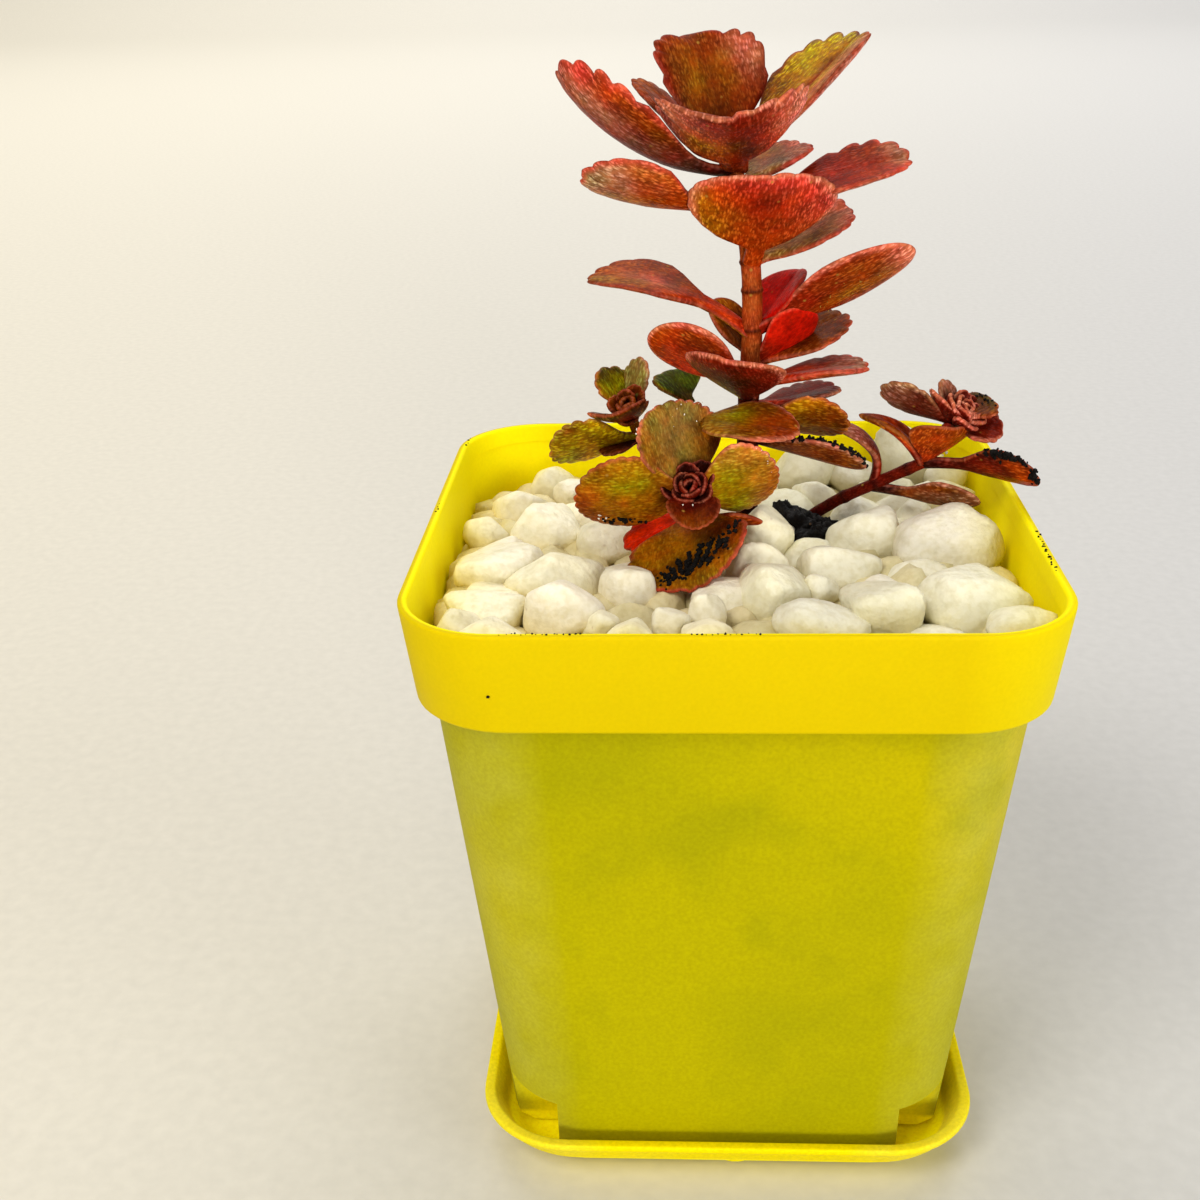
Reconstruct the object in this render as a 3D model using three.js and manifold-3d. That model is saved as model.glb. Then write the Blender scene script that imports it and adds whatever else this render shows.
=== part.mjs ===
// A small stonecrop in a square plastic pot on its saucer: soil, white stones on top and four leafy shoots.
// Millimetres, +Z up. The origin is on the saucer's underside below the pot's centre; the front faces -Y.
import * as THREE from "three";
import { mergeVertices } from "three/addons/utils/BufferGeometryUtils.js";
import Module from "manifold-3d";

const wasm = await Module();
wasm.setup();

// Driving dimensions
const FIT_GAP = 0.3; // between pieces that rest in or on each other
const POT_WIDTH = 75; // over the rim
const POT_TOP = 81.2;
const BAND_HEIGHT = 12.35; // the rim band, which stands proud of the body
const BAND_TAPER = 1.3; // how much narrower each side of the band is at its lower edge
const BODY_TOP_HALF = 34.55;
const BODY_FOOT_HALF = 28.45;
const FOOT_CHAMFER = 1.2;
const CORNER_RADIUS = 11.6;
const WALL = 1.15;
const FOOT_NOTCH = 6.6; // the square cut from each corner of the foot
const FOOT_NOTCH_TOP = 10.4;
const POT_FLOOR = 1.8; // thickness of the pot's floor
const DRAIN_RADIUS = 3;
const DRAIN_OFFSET = 12;
const SAUCER_FLOOR = 1.6;
const SAUCER_HEIGHT = 7;
const SAUCER_HALF = 32.2;
const SAUCER_BASE_HALF = 26.4;
const SAUCER_LIP = 1.3;
const SOIL_TOP = 68.7;
const STONE_BED_SLOPE = -0.05; // the stones lie higher at the front
const STONE_BED_CORE = 74.3;
const NECK_HEIGHT = 7; // of the soil that rises through the stones
const STEM_FOOT = 60; // how far down the stems reach into the soil
const CORNER_STEPS = 5;

const POT_FOOT = SAUCER_FLOOR + FIT_GAP;
const BAND_BOTTOM = POT_TOP - BAND_HEIGHT;
const RIM_HALF = POT_WIDTH / 2;
const BAND_BOTTOM_HALF = RIM_HALF - BAND_TAPER;

// A repeatable draw between 0 and 1
function seeded(seed) {
  let state = seed;
  return () => {
    state = (state + 0x6d2b79f5) | 0;
    let t = Math.imul(state ^ (state >>> 15), 1 | state);
    t = (t + Math.imul(t ^ (t >>> 7), 61 | t)) ^ t;
    return ((t ^ (t >>> 14)) >>> 0) / 4294967296;
  };
}

function solidFrom(geometry) {
  const bare = geometry.clone();
  bare.deleteAttribute("normal");
  bare.deleteAttribute("uv");
  const merged = mergeVertices(bare, 1e-4);
  return new wasm.Manifold(
    new wasm.Mesh({
      numProp: 3,
      vertProperties: merged.attributes.position.array,
      triVerts: new Uint32Array(merged.index.array),
    }),
  );
}

function geometryFrom(solid) {
  const mesh = solid.getMesh();
  const points = new Float32Array(mesh.numVert * 3);
  for (let v = 0; v < mesh.numVert; v++) {
    for (let k = 0; k < 3; k++) {
      points[3 * v + k] = Math.round(mesh.vertProperties[v * mesh.numProp + k] * 1e4) / 1e4;
    }
  }
  const geometry = new THREE.BufferGeometry();
  geometry.setAttribute("position", new THREE.BufferAttribute(points, 3));
  geometry.setIndex(new THREE.BufferAttribute(mesh.triVerts, 1));
  geometry.computeVertexNormals();
  return geometry;
}

function joined(solids) {
  return solids.reduce((all, one) => all.add(one));
}

// The largest body alone: hollows that the joins sealed are filled and loose scraps dropped
function oneBody(solid) {
  return solid.decompose().reduce((largest, body) => (body.volume() > largest.volume() ? body : largest));
}

function indexedGeometry(points, faces) {
  const geometry = new THREE.BufferGeometry();
  geometry.setAttribute("position", new THREE.Float32BufferAttribute(points.flatMap((p) => p.toArray()), 3));
  geometry.setIndex(faces);
  return geometry;
}

// A closed body through rings of equally many points, from the first to the last, with a flat cap at each end
function loft(rings) {
  const count = rings[0].length;
  const points = rings.flat();
  const faces = [];
  for (let r = 0; r + 1 < rings.length; r++) {
    for (let i = 0; i < count; i++) {
      const a = r * count + i;
      const b = r * count + ((i + 1) % count);
      faces.push(a, b, b + count, a, b + count, a + count);
    }
  }
  const ends = [
    [0, true],
    [rings.length - 1, false],
  ];
  for (const [r, first] of ends) {
    const middle = rings[r].reduce((sum, p) => sum.add(p), new THREE.Vector3()).divideScalar(count);
    const centre = points.push(middle) - 1;
    for (let i = 0; i < count; i++) {
      const a = r * count + i;
      const b = r * count + ((i + 1) % count);
      faces.push(...(first ? [centre, b, a] : [centre, a, b]));
    }
  }
  return solidFrom(indexedGeometry(points, faces));
}

// A square ring with round corners; slope tips it about the X axis
function squareRing(half, radius, z, slope = 0) {
  const ring = [];
  for (let corner = 0; corner < 4; corner++) {
    for (let step = 0; step <= CORNER_STEPS; step++) {
      const turn = ((corner + step / CORNER_STEPS) * Math.PI) / 2;
      const sideX = corner === 0 || corner === 3 ? 1 : -1;
      const sideY = corner < 2 ? 1 : -1;
      const x = sideX * (half - radius) + radius * Math.cos(turn);
      const y = sideY * (half - radius) + radius * Math.sin(turn);
      ring.push(new THREE.Vector3(x, y, z + slope * y));
    }
  }
  return ring;
}

function squareLoft(profile) {
  return loft(profile.map(([half, radius, z, slope]) => squareRing(half, radius, z, slope)));
}

function box(x0, x1, y0, y1, z0, z1) {
  const geometry = new THREE.BoxGeometry(x1 - x0, y1 - y0, z1 - z0);
  geometry.translate((x0 + x1) / 2, (y0 + y1) / 2, (z0 + z1) / 2);
  return solidFrom(geometry);
}

// The four corner cuts of the foot, grown by a margin
function footNotches(margin) {
  const from = BODY_FOOT_HALF - FOOT_NOTCH - margin;
  const to = BODY_FOOT_HALF + FOOT_NOTCH;
  const top = FOOT_NOTCH_TOP + margin;
  const cuts = [];
  for (const x of [-1, 1]) {
    for (const y of [-1, 1]) {
      cuts.push(
        box(Math.min(x * from, x * to), Math.max(x * from, x * to), Math.min(y * from, y * to),
          Math.max(y * from, y * to), -FIT_GAP, top),
      );
    }
  }
  return joined(cuts);
}

// Pot
const bodyHalf = (z) => THREE.MathUtils.mapLinear(z, POT_FOOT, BAND_BOTTOM, BODY_FOOT_HALF, BODY_TOP_HALF);
const bandHalf = (z) => THREE.MathUtils.mapLinear(z, BAND_BOTTOM, POT_TOP, BAND_BOTTOM_HALF, RIM_HALF);
const CAVITY_FLOOR = POT_FOOT + POT_FLOOR;
const LEDGE = BAND_BOTTOM + WALL; // inside, the wall steps out where the band begins

// The inside of the pot, drawn in by a margin and filled up to a height
function cavity(margin, bottom, top) {
  const inner = CORNER_RADIUS - WALL - margin;
  const profile = [
    [bodyHalf(bottom) - WALL - margin, inner, bottom],
    [bodyHalf(Math.min(top, LEDGE - 0.2)) - WALL - margin, inner, Math.min(top, LEDGE - 0.2)],
  ];
  if (top > LEDGE) {
    profile.push([bandHalf(LEDGE + 0.8) - WALL - margin, inner, LEDGE + 0.8 + margin]);
    profile.push([bandHalf(top) - WALL - margin, inner, top]);
  }
  return squareLoft(profile);
}

function potSolid() {
  const outer = squareLoft([
    [BODY_FOOT_HALF - FOOT_CHAMFER, CORNER_RADIUS, POT_FOOT],
    [bodyHalf(POT_FOOT + FOOT_CHAMFER), CORNER_RADIUS, POT_FOOT + FOOT_CHAMFER],
    [BODY_TOP_HALF, CORNER_RADIUS, BAND_BOTTOM],
    [BAND_BOTTOM_HALF - 0.3, CORNER_RADIUS, BAND_BOTTOM],
    [BAND_BOTTOM_HALF, CORNER_RADIUS, BAND_BOTTOM + 0.4],
    [RIM_HALF, CORNER_RADIUS, POT_TOP - 0.35],
    [RIM_HALF - 0.3, CORNER_RADIUS - 0.3, POT_TOP],
  ]);
  const inside = cavity(0, CAVITY_FLOOR, POT_TOP + 1).subtract(footNotches(WALL));
  let pot = outer.subtract(inside).subtract(footNotches(0));
  const drain = new THREE.CylinderGeometry(DRAIN_RADIUS, DRAIN_RADIUS, 3 * POT_FLOOR, 16);
  drain.rotateX(Math.PI / 2);
  for (const [x, y] of [[0, 0], [1, 1], [1, -1], [-1, 1], [-1, -1]]) {
    const hole = drain.clone().translate(x * DRAIN_OFFSET, y * DRAIN_OFFSET, CAVITY_FLOOR - POT_FLOOR / 2);
    pot = pot.subtract(solidFrom(hole));
  }
  return pot;
}

// Saucer
function saucerSolid() {
  const base = CORNER_RADIUS - 3;
  const lip = CORNER_RADIUS;
  const dish = squareLoft([
    [SAUCER_BASE_HALF, base, 0],
    [SAUCER_BASE_HALF + 0.8, base + 0.4, 0.3],
    [SAUCER_BASE_HALF + 2.1, base + 1, 1.6],
    [SAUCER_BASE_HALF + 3.9, base + 1.8, 3.4],
    [SAUCER_HALF - 0.6, lip - 0.5, SAUCER_HEIGHT - 1.4],
    [SAUCER_HALF, lip, SAUCER_HEIGHT - 0.7],
    [SAUCER_HALF, lip, SAUCER_HEIGHT - 0.1],
    [SAUCER_HALF - 0.3, lip - 0.2, SAUCER_HEIGHT],
    [SAUCER_HALF - SAUCER_LIP, lip - 1, SAUCER_HEIGHT - 0.1],
    [SAUCER_HALF - SAUCER_LIP - 0.9, lip - 1.6, SAUCER_HEIGHT - 1.7],
    [SAUCER_BASE_HALF + 2.8, base + 0.8, 3.4],
    [SAUCER_BASE_HALF + 1, base, SAUCER_FLOOR],
  ]);
  const mark = new THREE.SphereGeometry(1, 10, 6);
  mark.scale(1.9, 0.6, 0.9);
  mark.translate(1.1, -SAUCER_BASE_HALF - 2.1, 2);
  return dish.add(solidFrom(mark));
}

// Stems: each route is a list of points from the foot in the soil to the tip
const ROUTES = {
  main: [
    [2.7, 4, STEM_FOOT], [2.7, 4, 80], [2.7, 4, 94.4], [3, 4, 103.3], [2.7, 4, 111.2], [1.6, 4, 118],
    [0.3, 4, 123.4],
  ],
  front: [[-2.5, 1, STEM_FOOT], [-2.8, 0.5, 77], [-3.6, -2.5, 82], [-4.5, -6, 85.8]],
  low: [[-2.5, 1, 75], [-2.5, -0.5, 84], [-2.8, -1.3, 93.2]],
  left: [[-8, 6, STEM_FOOT], [-8, 6, 77], [-9.5, 7, 84], [-12.4, 8, 92]],
  leftBack: [[-8, 6, 75.5], [-7, 8, 80], [-4.6, 12, 91.8]],
  right: [[10.5, 15.5, STEM_FOOT], [10.8, 15, 73], [14.4, 12.9, 77.2], [19.4, 10.3, 80.8], [25.5, 7.8, 84.7]],
  rightTip: [[25.5, 7.8, 84.7], [27.2, 7.5, 88], [29.1, 7.3, 90.6]],
};
// The radius at each stem's foot and at its tip
const RADII = {
  main: [1.35, 1],
  front: [0.8, 0.8],
  low: [0.7, 0.6],
  left: [0.75, 0.7],
  leftBack: [0.6, 0.5],
  right: [0.85, 0.75],
  rightTip: [0.8, 0.75],
};

function routeCurve(route) {
  const points = ROUTES[route].map((p) => new THREE.Vector3(...p));
  return new THREE.CatmullRomCurve3(points, false, "centripetal");
}

// The point of a route at a height
function onRoute(route, height) {
  const curve = routeCurve(route);
  let low = 0;
  let high = 1;
  while (high - low > 1e-5) {
    const middle = (low + high) / 2;
    if (curve.getPoint(middle).z < height) low = middle;
    else high = middle;
  }
  return curve.getPoint(low);
}

// A stem as a round tube, thicker by extra all round and its foot lower by drop
function tube(route, sides, extra = 0, drop = 0) {
  const curve = routeCurve(route);
  const steps = (ROUTES[route].length - 1) * 2;
  const [thick, thin] = RADII[route];
  const frames = curve.computeFrenetFrames(steps, false);
  const rings = [];
  for (let s = 0; s <= steps; s++) {
    const centre = curve.getPointAt(s / steps);
    const radius = THREE.MathUtils.lerp(thick, thin, s / steps) + extra;
    const ring = [];
    for (let i = 0; i < sides; i++) {
      const turn = (i * 2 * Math.PI) / sides;
      const point = centre.clone();
      point.addScaledVector(frames.normals[s], radius * Math.cos(turn));
      point.addScaledVector(frames.binormals[s], radius * Math.sin(turn));
      ring.push(point);
    }
    rings.push(ring);
  }
  rings[0].forEach((p) => p.setZ(p.z - drop));
  return loft(rings);
}

// Leaf outlines, in shares of the leaf's length and half width: where it is widest, how wide its foot is,
// where the stalk ends, how slowly the blade swells from there, and its margin's scallops and their depth
const OUTLINES = {
  spoon: { widest: 0.64, foot: 0.16, neck: 0.15, swell: 1.35, scallops: 7, depth: 0.05 },
  fan: { widest: 0.68, foot: 0.16, neck: 0.15, swell: 1.35, scallops: 7, depth: 0.05 },
  bowl: { widest: 0.6, foot: 0.17, neck: 0.2, swell: 0.7, scallops: 7, depth: 0.05 },
  ladle: { widest: 0.58, foot: 0.13, neck: 0.26, swell: 0.6, scallops: 9, depth: 0.02 },
  paddle: { widest: 0.55, foot: 0.18, neck: 0.18, swell: 0.7, scallops: 0, depth: 0 },
  round: { widest: 0.58, foot: 0.27, neck: 0.06, swell: 1.35, scallops: 9, depth: 0.035 },
  oval: { widest: 0.5, foot: 0.35, neck: 0.02, swell: 0.7, scallops: 7, depth: 0.04 },
  plain: { widest: 0.62, foot: 0.18, neck: 0.15, swell: 1.35, scallops: 0, depth: 0 },
  stalked: { widest: 0.64, foot: 0.24, neck: 0.34, swell: 1.35, scallops: 7, depth: 0.05 },
  narrow: { widest: 0.64, foot: 0.3, neck: 0.35, swell: 1.35, scallops: 0, depth: 0 },
  frill: { widest: 0.62, foot: 0.25, neck: 0.15, swell: 1.35, scallops: 5, depth: 0.08 },
};

// The margin from the left of the foot round the tip to its right; plain is its length without scallops
function margin(outline, footSteps, tipSteps) {
  const { widest, foot, neck, swell, scallops, depth } = outline;
  const side = [];
  for (let i = 0; i < footSteps; i++) {
    const x = (widest * i) / footSteps;
    const share = THREE.MathUtils.clamp((x - neck) / (widest - neck), 0, 1);
    side.push({ x, y: foot + (1 - foot) * Math.sin((share * Math.PI) / 2) ** swell, plain: x });
  }
  const tip = [];
  for (let i = 0; i <= tipSteps; i++) {
    const turn = Math.PI * (i / tipSteps - 0.5);
    const shrink = 1 + depth * (Math.abs(Math.sin((i / tipSteps) * scallops * Math.PI)) ** 0.7 - 1);
    const x = widest + (1 - widest) * Math.cos(turn);
    tip.push({ x: 0.85 * widest + (x - 0.85 * widest) * shrink, y: -Math.sin(turn) * shrink, plain: x });
  }
  return [...side, ...tip, ...side.map((p) => ({ ...p, y: -p.y })).reverse()];
}

// Where a point of the flat leaf goes when its sides cup up and its length arches; both bends keep lengths
function bent(x, y, leaf) {
  const { length, width, cup, arch } = leaf;
  const steps = 12;
  const reach = Math.abs(y) / steps;
  let across = 0;
  let up = 0;
  for (let k = 0; k < steps; k++) {
    const lean = THREE.MathUtils.degToRad(cup / 2) * (((k + 0.5) * reach) / (width / 2)) ** 0.7;
    across += Math.cos(lean) * reach;
    up += Math.sin(lean) * reach;
  }
  const fade = THREE.MathUtils.clamp(x / (0.35 * length), 0, 1); // the stalk stays flat
  const side = Math.sign(y) * THREE.MathUtils.lerp(Math.abs(y), across, fade);
  const rise = up * fade;
  const bend = THREE.MathUtils.degToRad(Math.abs(arch) < 0.1 ? 0.1 : arch) / length;
  const turn = bend * x;
  return new THREE.Vector3(
    Math.sin(turn) / bend - rise * Math.sin(turn),
    side,
    (1 - Math.cos(turn)) / bend + rise * Math.cos(turn),
  );
}

// A closed blade: the bent middle surface thickened to both sides, thick at the midrib and thin at the margin
function blade(leaf) {
  const outline = OUTLINES[leaf.outline];
  const scallops = Math.min(outline.scallops, leaf.length > 15 ? 7 : leaf.length > 5 ? 5 : 3);
  const footSteps = leaf.length > 18 ? 3 : 2;
  const rows = leaf.width * leaf.cup > 400 ? 2 : 1;
  const edge = margin({ ...outline, scallops }, footSteps, scallops ? 2 * scallops : 8);
  const last = edge.length - 1;
  const index = (i, j) => (j === 0 ? Math.min(i, last - i) : last + 1 + (j - 1) * (last + 1) + i);
  const middle = new Array((rows + 1) * (last + 1)).fill(null).map(() => new THREE.Vector3());
  const thickness = [];
  for (let i = 0; i <= last; i++) {
    for (let j = 0; j <= rows; j++) {
      const share = j / rows;
      const rib = 0.8 * edge[i].plain;
      const x = (rib + (edge[i].x - rib) * share) * leaf.length;
      const y = (edge[i].y * share * leaf.width) / 2;
      middle[index(i, j)] = bent(x, y, leaf);
      thickness[index(i, j)] = THREE.MathUtils.lerp(leaf.thick, leaf.thin, share * share);
    }
  }
  const sheet = [];
  for (let i = 0; i < last; i++) {
    for (let j = 0; j < rows; j++) {
      const [a, b, c, d] = [index(i, j), index(i + 1, j), index(i + 1, j + 1), index(i, j + 1)];
      if (a !== b) sheet.push(a, b, c);
      sheet.push(a, c, d);
    }
  }
  const surface = indexedGeometry(middle, sheet);
  surface.computeVertexNormals();
  const normals = surface.attributes.normal;
  const offset = (v, side) => {
    const normal = new THREE.Vector3().fromBufferAttribute(normals, v);
    return middle[v].clone().addScaledVector(normal, (side * thickness[v]) / 2);
  };
  const count = middle.length;
  const points = [...middle.map((_, v) => offset(v, 1)), ...middle.map((_, v) => offset(v, -1))];
  const faces = [...sheet];
  for (let t = 0; t < sheet.length; t += 3) {
    faces.push(sheet[t] + count, sheet[t + 2] + count, sheet[t + 1] + count);
  }
  const wall = (a, b) => faces.push(a, b, b + count, a, b + count, a + count);
  for (let i = 0; i < last; i++) wall(index(i, rows), index(i + 1, rows));
  for (let j = 0; j < rows; j++) {
    wall(index(0, j), index(0, j + 1));
    wall(index(last, j + 1), index(last, j));
  }
  const { along, up } = leaf;
  const side = new THREE.Vector3().crossVectors(up, along);
  const place = new THREE.Matrix4().makeBasis(along, side, up).setPosition(leaf.base);
  return solidFrom(indexedGeometry(points, faces).applyMatrix4(place));
}

// A leaf's own directions: towards and rise in degrees (0 is +X, 90 is +Y), and its roll about its length
function leafAxes(towards, rise, roll) {
  const [a, e, r] = [towards, rise, roll].map(THREE.MathUtils.degToRad);
  const along = new THREE.Vector3(Math.cos(e) * Math.cos(a), Math.cos(e) * Math.sin(a), Math.sin(e));
  const level = new THREE.Vector3(-Math.sin(e) * Math.cos(a), -Math.sin(e) * Math.sin(a), Math.cos(e));
  return { along, up: level.applyAxisAngle(along, -r) };
}

// Each row: height on the stem, towards, rise, roll, length, width, cup, arch, outline
const LEAVES = {
  main: [
    [122.2, -162, 6, -20, 25, 14, 60, 55, "spoon"],
    [123, 120, 60, 0, 16.5, 15.5, 40, 0, "fan"],
    [122.9, 154, 34, -5, 16, 9, 15, 5, "spoon"],
    [122.9, 28, 36, 0, 22.5, 13.5, 65, 5, "spoon"],
    [122.3, -92, 35, -3, 15, 19.5, 95, -8, "bowl"],
    [117.6, -156, 10, -30, 20.8, 11, 40, 15, "spoon"],
    [110.9, -78, 50, 4, 16, 18.5, 52, 2, "ladle"],
    [117.8, 2, 14, -15, 20.5, 12, 50, 5, "spoon"],
    [120.6, 46, 15, 0, 12.3, 8, 30, 5, "spoon"],
    [111.5, 20, 18, -15, 14, 11, 50, 15, "spoon"],
    [102.6, 176, 42, 15, 22.3, 10, 35, -50, "stalked"],
    [102.8, -10, 32, 40, 22, 10, 10, -5, "spoon"],
    [102.4, 30, 46, 10, 9.5, 10, 50, 0, "plain"],
    [99.3, 4, 34, 45, 10, 9.5, 15, 5, "plain"],
    [98.9, 28, 12, -10, 14.5, 9.5, 40, 15, "spoon"],
    [99.9, 148, 46, 5, 8.5, 7, 45, 10, "plain"],
    [96.5, 176, 32, -48, 14, 10.7, 11, -11, "paddle"],
    [94.6, -108, 30, 5, 14, 13, 45, 10, "plain"],
    [96.3, -2, 14, 0, 15, 8.5, 40, -10, "spoon"],
    [93.6, 22, -2, 5, 12.5, 9.5, 25, 15, "spoon"],
    [91.6, 8, 10, 45, 13, 10, 15, -35, "spoon"],
    [89.5, -18, -6, 35, 15.5, 8, 20, -5, "plain"],
  ],
  front: [
    [85.5, -166, -2, -60, 14.5, 13.5, 30, 15, "round"],
    [85.7, 134, 60, 0, 11.5, 13, 30, 15, "round"],
    [85.6, 8, 12, 60, 11, 13, 20, -5, "round"],
    [85.6, -88, 0, 0, 8, 7, 60, -25, "round"],
    [82.1, -164, -18, 10, 9, 5, 10, -5, "frill"],
    [82.2, -96, -15, -20, 14, 15, 40, -5, "round"],
    [81.5, -24, 2, 40, 8.5, 3, 0, 0, "narrow"],
  ],
  low: [[93, -14, 5, -11, 11.8, 9.8, 32, -15, "oval"]],
  left: [
    [92, 148, 48, 0, 6.5, 8, 20, 10, "frill"],
    [92, 46, 62, 15, 7, 6.5, 15, 15, "frill"],
    [91.2, -106, 20, -15, 8, 9, 80, 25, "frill"],
    [88.6, -168, 0, -55, 12, 9.5, 15, -10, "spoon"],
    [88.4, -172, -16, 10, 4.5, 6.5, 35, 5, "frill"],
  ],
  leftBack: [[91.6, 140, 52, -5, 5.5, 10, 30, -20, "frill"]],
  right: [
    [80.8, -10, 68, -15, 11.5, 4.5, 25, 110, "narrow"],
    [80.6, -16, -4, 50, 14.5, 5.5, 40, 0, "narrow"],
    [84.6, -84, 52, 15, 8.5, 12, 60, -5, "plain"],
    [84.6, -19, 9, 45, 15.5, 8, 30, -25, "stalked"],
  ],
  rightTip: [
    [90.4, 180, 22, -40, 10.5, 7, 20, 10, "frill"],
    [90.2, -76, 32, 25, 3.5, 11, 100, 5, "plain"],
    [90.5, 124, 64, -10, 5.5, 3.5, 30, -5, "frill"],
    [90.5, 20, 22, 0, 5.5, 9, 5, 10, "frill"],
    [90.2, -20, -6, -20, 6.5, 7, 45, -10, "frill"],
  ],
};

// Unopened leaflets at a stem's tip, spiralling in round its axis
const BUDS = {
  main: { axis: [-0.1, -0.1, 1], leaflets: 3, length: 5, open: 50 },
  front: { axis: [-0.1, -0.75, 0.65], leaflets: 5, length: 3.6, open: 62 },
  left: { axis: [-0.1, -0.6, 0.8], leaflets: 3, length: 3, open: 55 },
  rightTip: { axis: [0.55, -0.35, 0.75], leaflets: 6, length: 4.6, open: 68 },
};
const GOLDEN_TURN = THREE.MathUtils.degToRad(137.5);

function bud(route) {
  const { axis, leaflets, length, open } = BUDS[route];
  const centre = new THREE.Vector3(...axis).normalize();
  const aside = new THREE.Vector3(1, 0, 0).cross(centre).normalize();
  const base = new THREE.Vector3(...ROUTES[route].at(-1)).addScaledVector(centre, -0.3);
  const made = [];
  for (let k = 0; k < leaflets; k++) {
    const lean = THREE.MathUtils.degToRad(open * (1 - (0.75 * k) / leaflets));
    const round = aside.clone().applyAxisAngle(centre, k * GOLDEN_TURN);
    const along = centre.clone().multiplyScalar(Math.cos(lean)).addScaledVector(round, Math.sin(lean));
    const up = centre.clone().addScaledVector(along, -centre.dot(along)).normalize();
    const size = length * (1 - (0.4 * k) / leaflets);
    const shape = { length: size, width: size * 0.8, cup: 70, arch: 30, thick: 0.8, thin: 0.6 };
    made.push(blade({ base, along, up, ...shape, outline: "frill" }));
  }
  return made;
}

function twig(route) {
  const parts = [tube(route, 7)];
  for (const [height, towards, rise, roll, length, width, cup, arch, outline] of LEAVES[route]) {
    const base = onRoute(route, height);
    const shape = { length, width, cup, arch, thick: length > 9 ? 1.3 : 1, thin: 0.65 };
    parts.push(blade({ base, ...leafAxes(towards, rise, roll), ...shape, outline }));
  }
  if (BUDS[route]) parts.push(...bud(route));
  return joined(parts);
}

// Stones: the ones that show, each row its centre, its half sizes and its turn about Z in degrees
const STONES = [
  [-28, -8, 76, 5.9, 4.2, 3, 20], [-32, 7, 75, 2.8, 2.8, 2.7, 0], [-28, 18, 74.5, 3.6, 3, 2.6, 0],
  [-23.5, 8, 75, 5, 4, 3, 0], [-24.5, 31, 73.5, 3.4, 2.8, 2.9, 0], [-21.5, 27, 73.5, 2.7, 2.5, 2.6, 0],
  [-20.5, -11, 76.3, 5.9, 3.6, 2.4, 20], [-28, -22, 77, 4.2, 3.2, 2.2, 0], [-26.5, -30, 77, 4, 3, 2.3, 0],
  [-19, -23, 77.3, 4.5, 3.8, 3.2, 0], [-14.5, -26, 77, 1.8, 1.8, 1.9, 0], [-15.5, 3, 75.3, 3.8, 3.4, 3, 0],
  [-12, -15, 76, 3.6, 3.2, 3.8, 0], [-11, -30, 77, 3, 2.8, 2.3, 0], [-7, -26, 77, 2.1, 2.1, 2.4, 0],
  [-3, -23.5, 77, 2.1, 2.2, 2.5, 0], [-3, -30, 77, 3, 2.5, 2.2, 0], [3.4, -10.5, 76, 4.2, 3.6, 4.4, 0],
  [5, -17, 76.8, 4.6, 4.4, 4.4, 40], [13, -7.5, 76, 5, 4, 3.1, 0], [10.7, -16, 77, 2, 2, 2, 0],
  [9.5, -26, 77, 5, 4, 2.9, 0], [17, -23, 77.2, 4.4, 4, 3.7, 0], [18.6, 4, 75.5, 4.6, 4.4, 4.2, 0],
  [25.6, 13, 74.5, 2.8, 2.6, 2.8, 0], [27.5, -0.5, 75.8, 6.8, 5.4, 4.4, 0],
  [26.5, -20.5, 77.2, 6.2, 5, 3.8, 0],
  [31.5, -27, 77, 3.5, 3, 2.3, 0], [31.5, 20, 74.5, 3, 3, 2.6, 0], [12, 28.5, 76, 4.6, 4, 3.8, 0],
  [13, 22, 74.5, 3.4, 3, 2.5, 0], [18.5, 29.5, 75.5, 4, 3.6, 3, 0], [27, 30, 77, 4.8, 3.4, 3.8, 0],
  [32, 27, 75.5, 3, 3, 2.8, 0], [5, 0, 77.4, 3.8, 3.2, 3.6, 0],
];
const STONE_PITCH = 9; // spacing of the stones drawn by rule between and behind them
const STONE_REACH = 35;
const BED_TOP = 75.4; // the stones' middle height at the pot's centre
// Clods of soil that show between the stones: centre and radius
const CLODS = [
  [8.4, 15.5, 76.7, 2.1],
  [10.8, 14, 75.4, 2.9],
  [13.8, 12.8, 75.9, 2],
  [10.6, 11.8, 73.8, 2.8],
];

function drawnStones() {
  const draw = seeded(7);
  const stones = [];
  for (let row = -4; row <= 4; row++) {
    for (let column = -4; column <= 4; column++) {
      const x = (column + (row % 2 ? 0.5 : 0)) * STONE_PITCH + 2.4 * (draw() - 0.5);
      const y = row * STONE_PITCH * 0.95 + 2.4 * (draw() - 0.5);
      const size = 3.6 + 1.5 * draw();
      const flat = 0.65 + 0.2 * draw();
      const turn = 180 * draw();
      const drop = 1.2 * draw();
      const apart = ([sx, sy, , a, b]) => Math.hypot(x - sx, y - sy) > 0.62 * (size + (a + b) / 2);
      const free = STONES.every(apart);
      const clear = CLODS.every(([cx, cy, , radius]) => Math.hypot(x - cx, y - cy) > radius + 0.6 * size);
      const inside = Math.max(Math.abs(x), Math.abs(y)) < STONE_REACH - size * 0.9;
      const core = STONE_REACH - CORNER_RADIUS;
      const beyond = Math.hypot(Math.max(0, Math.abs(x) - core), Math.max(0, Math.abs(y) - core));
      const inCorner = beyond < CORNER_RADIUS - size * 0.9;
      if (free && clear && inside && inCorner) {
        const z = BED_TOP - 1 - drop + STONE_BED_SLOPE * y;
        stones.push([x, y, z, size, size * 0.85, size * flat, turn]);
      }
    }
  }
  return stones;
}

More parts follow.
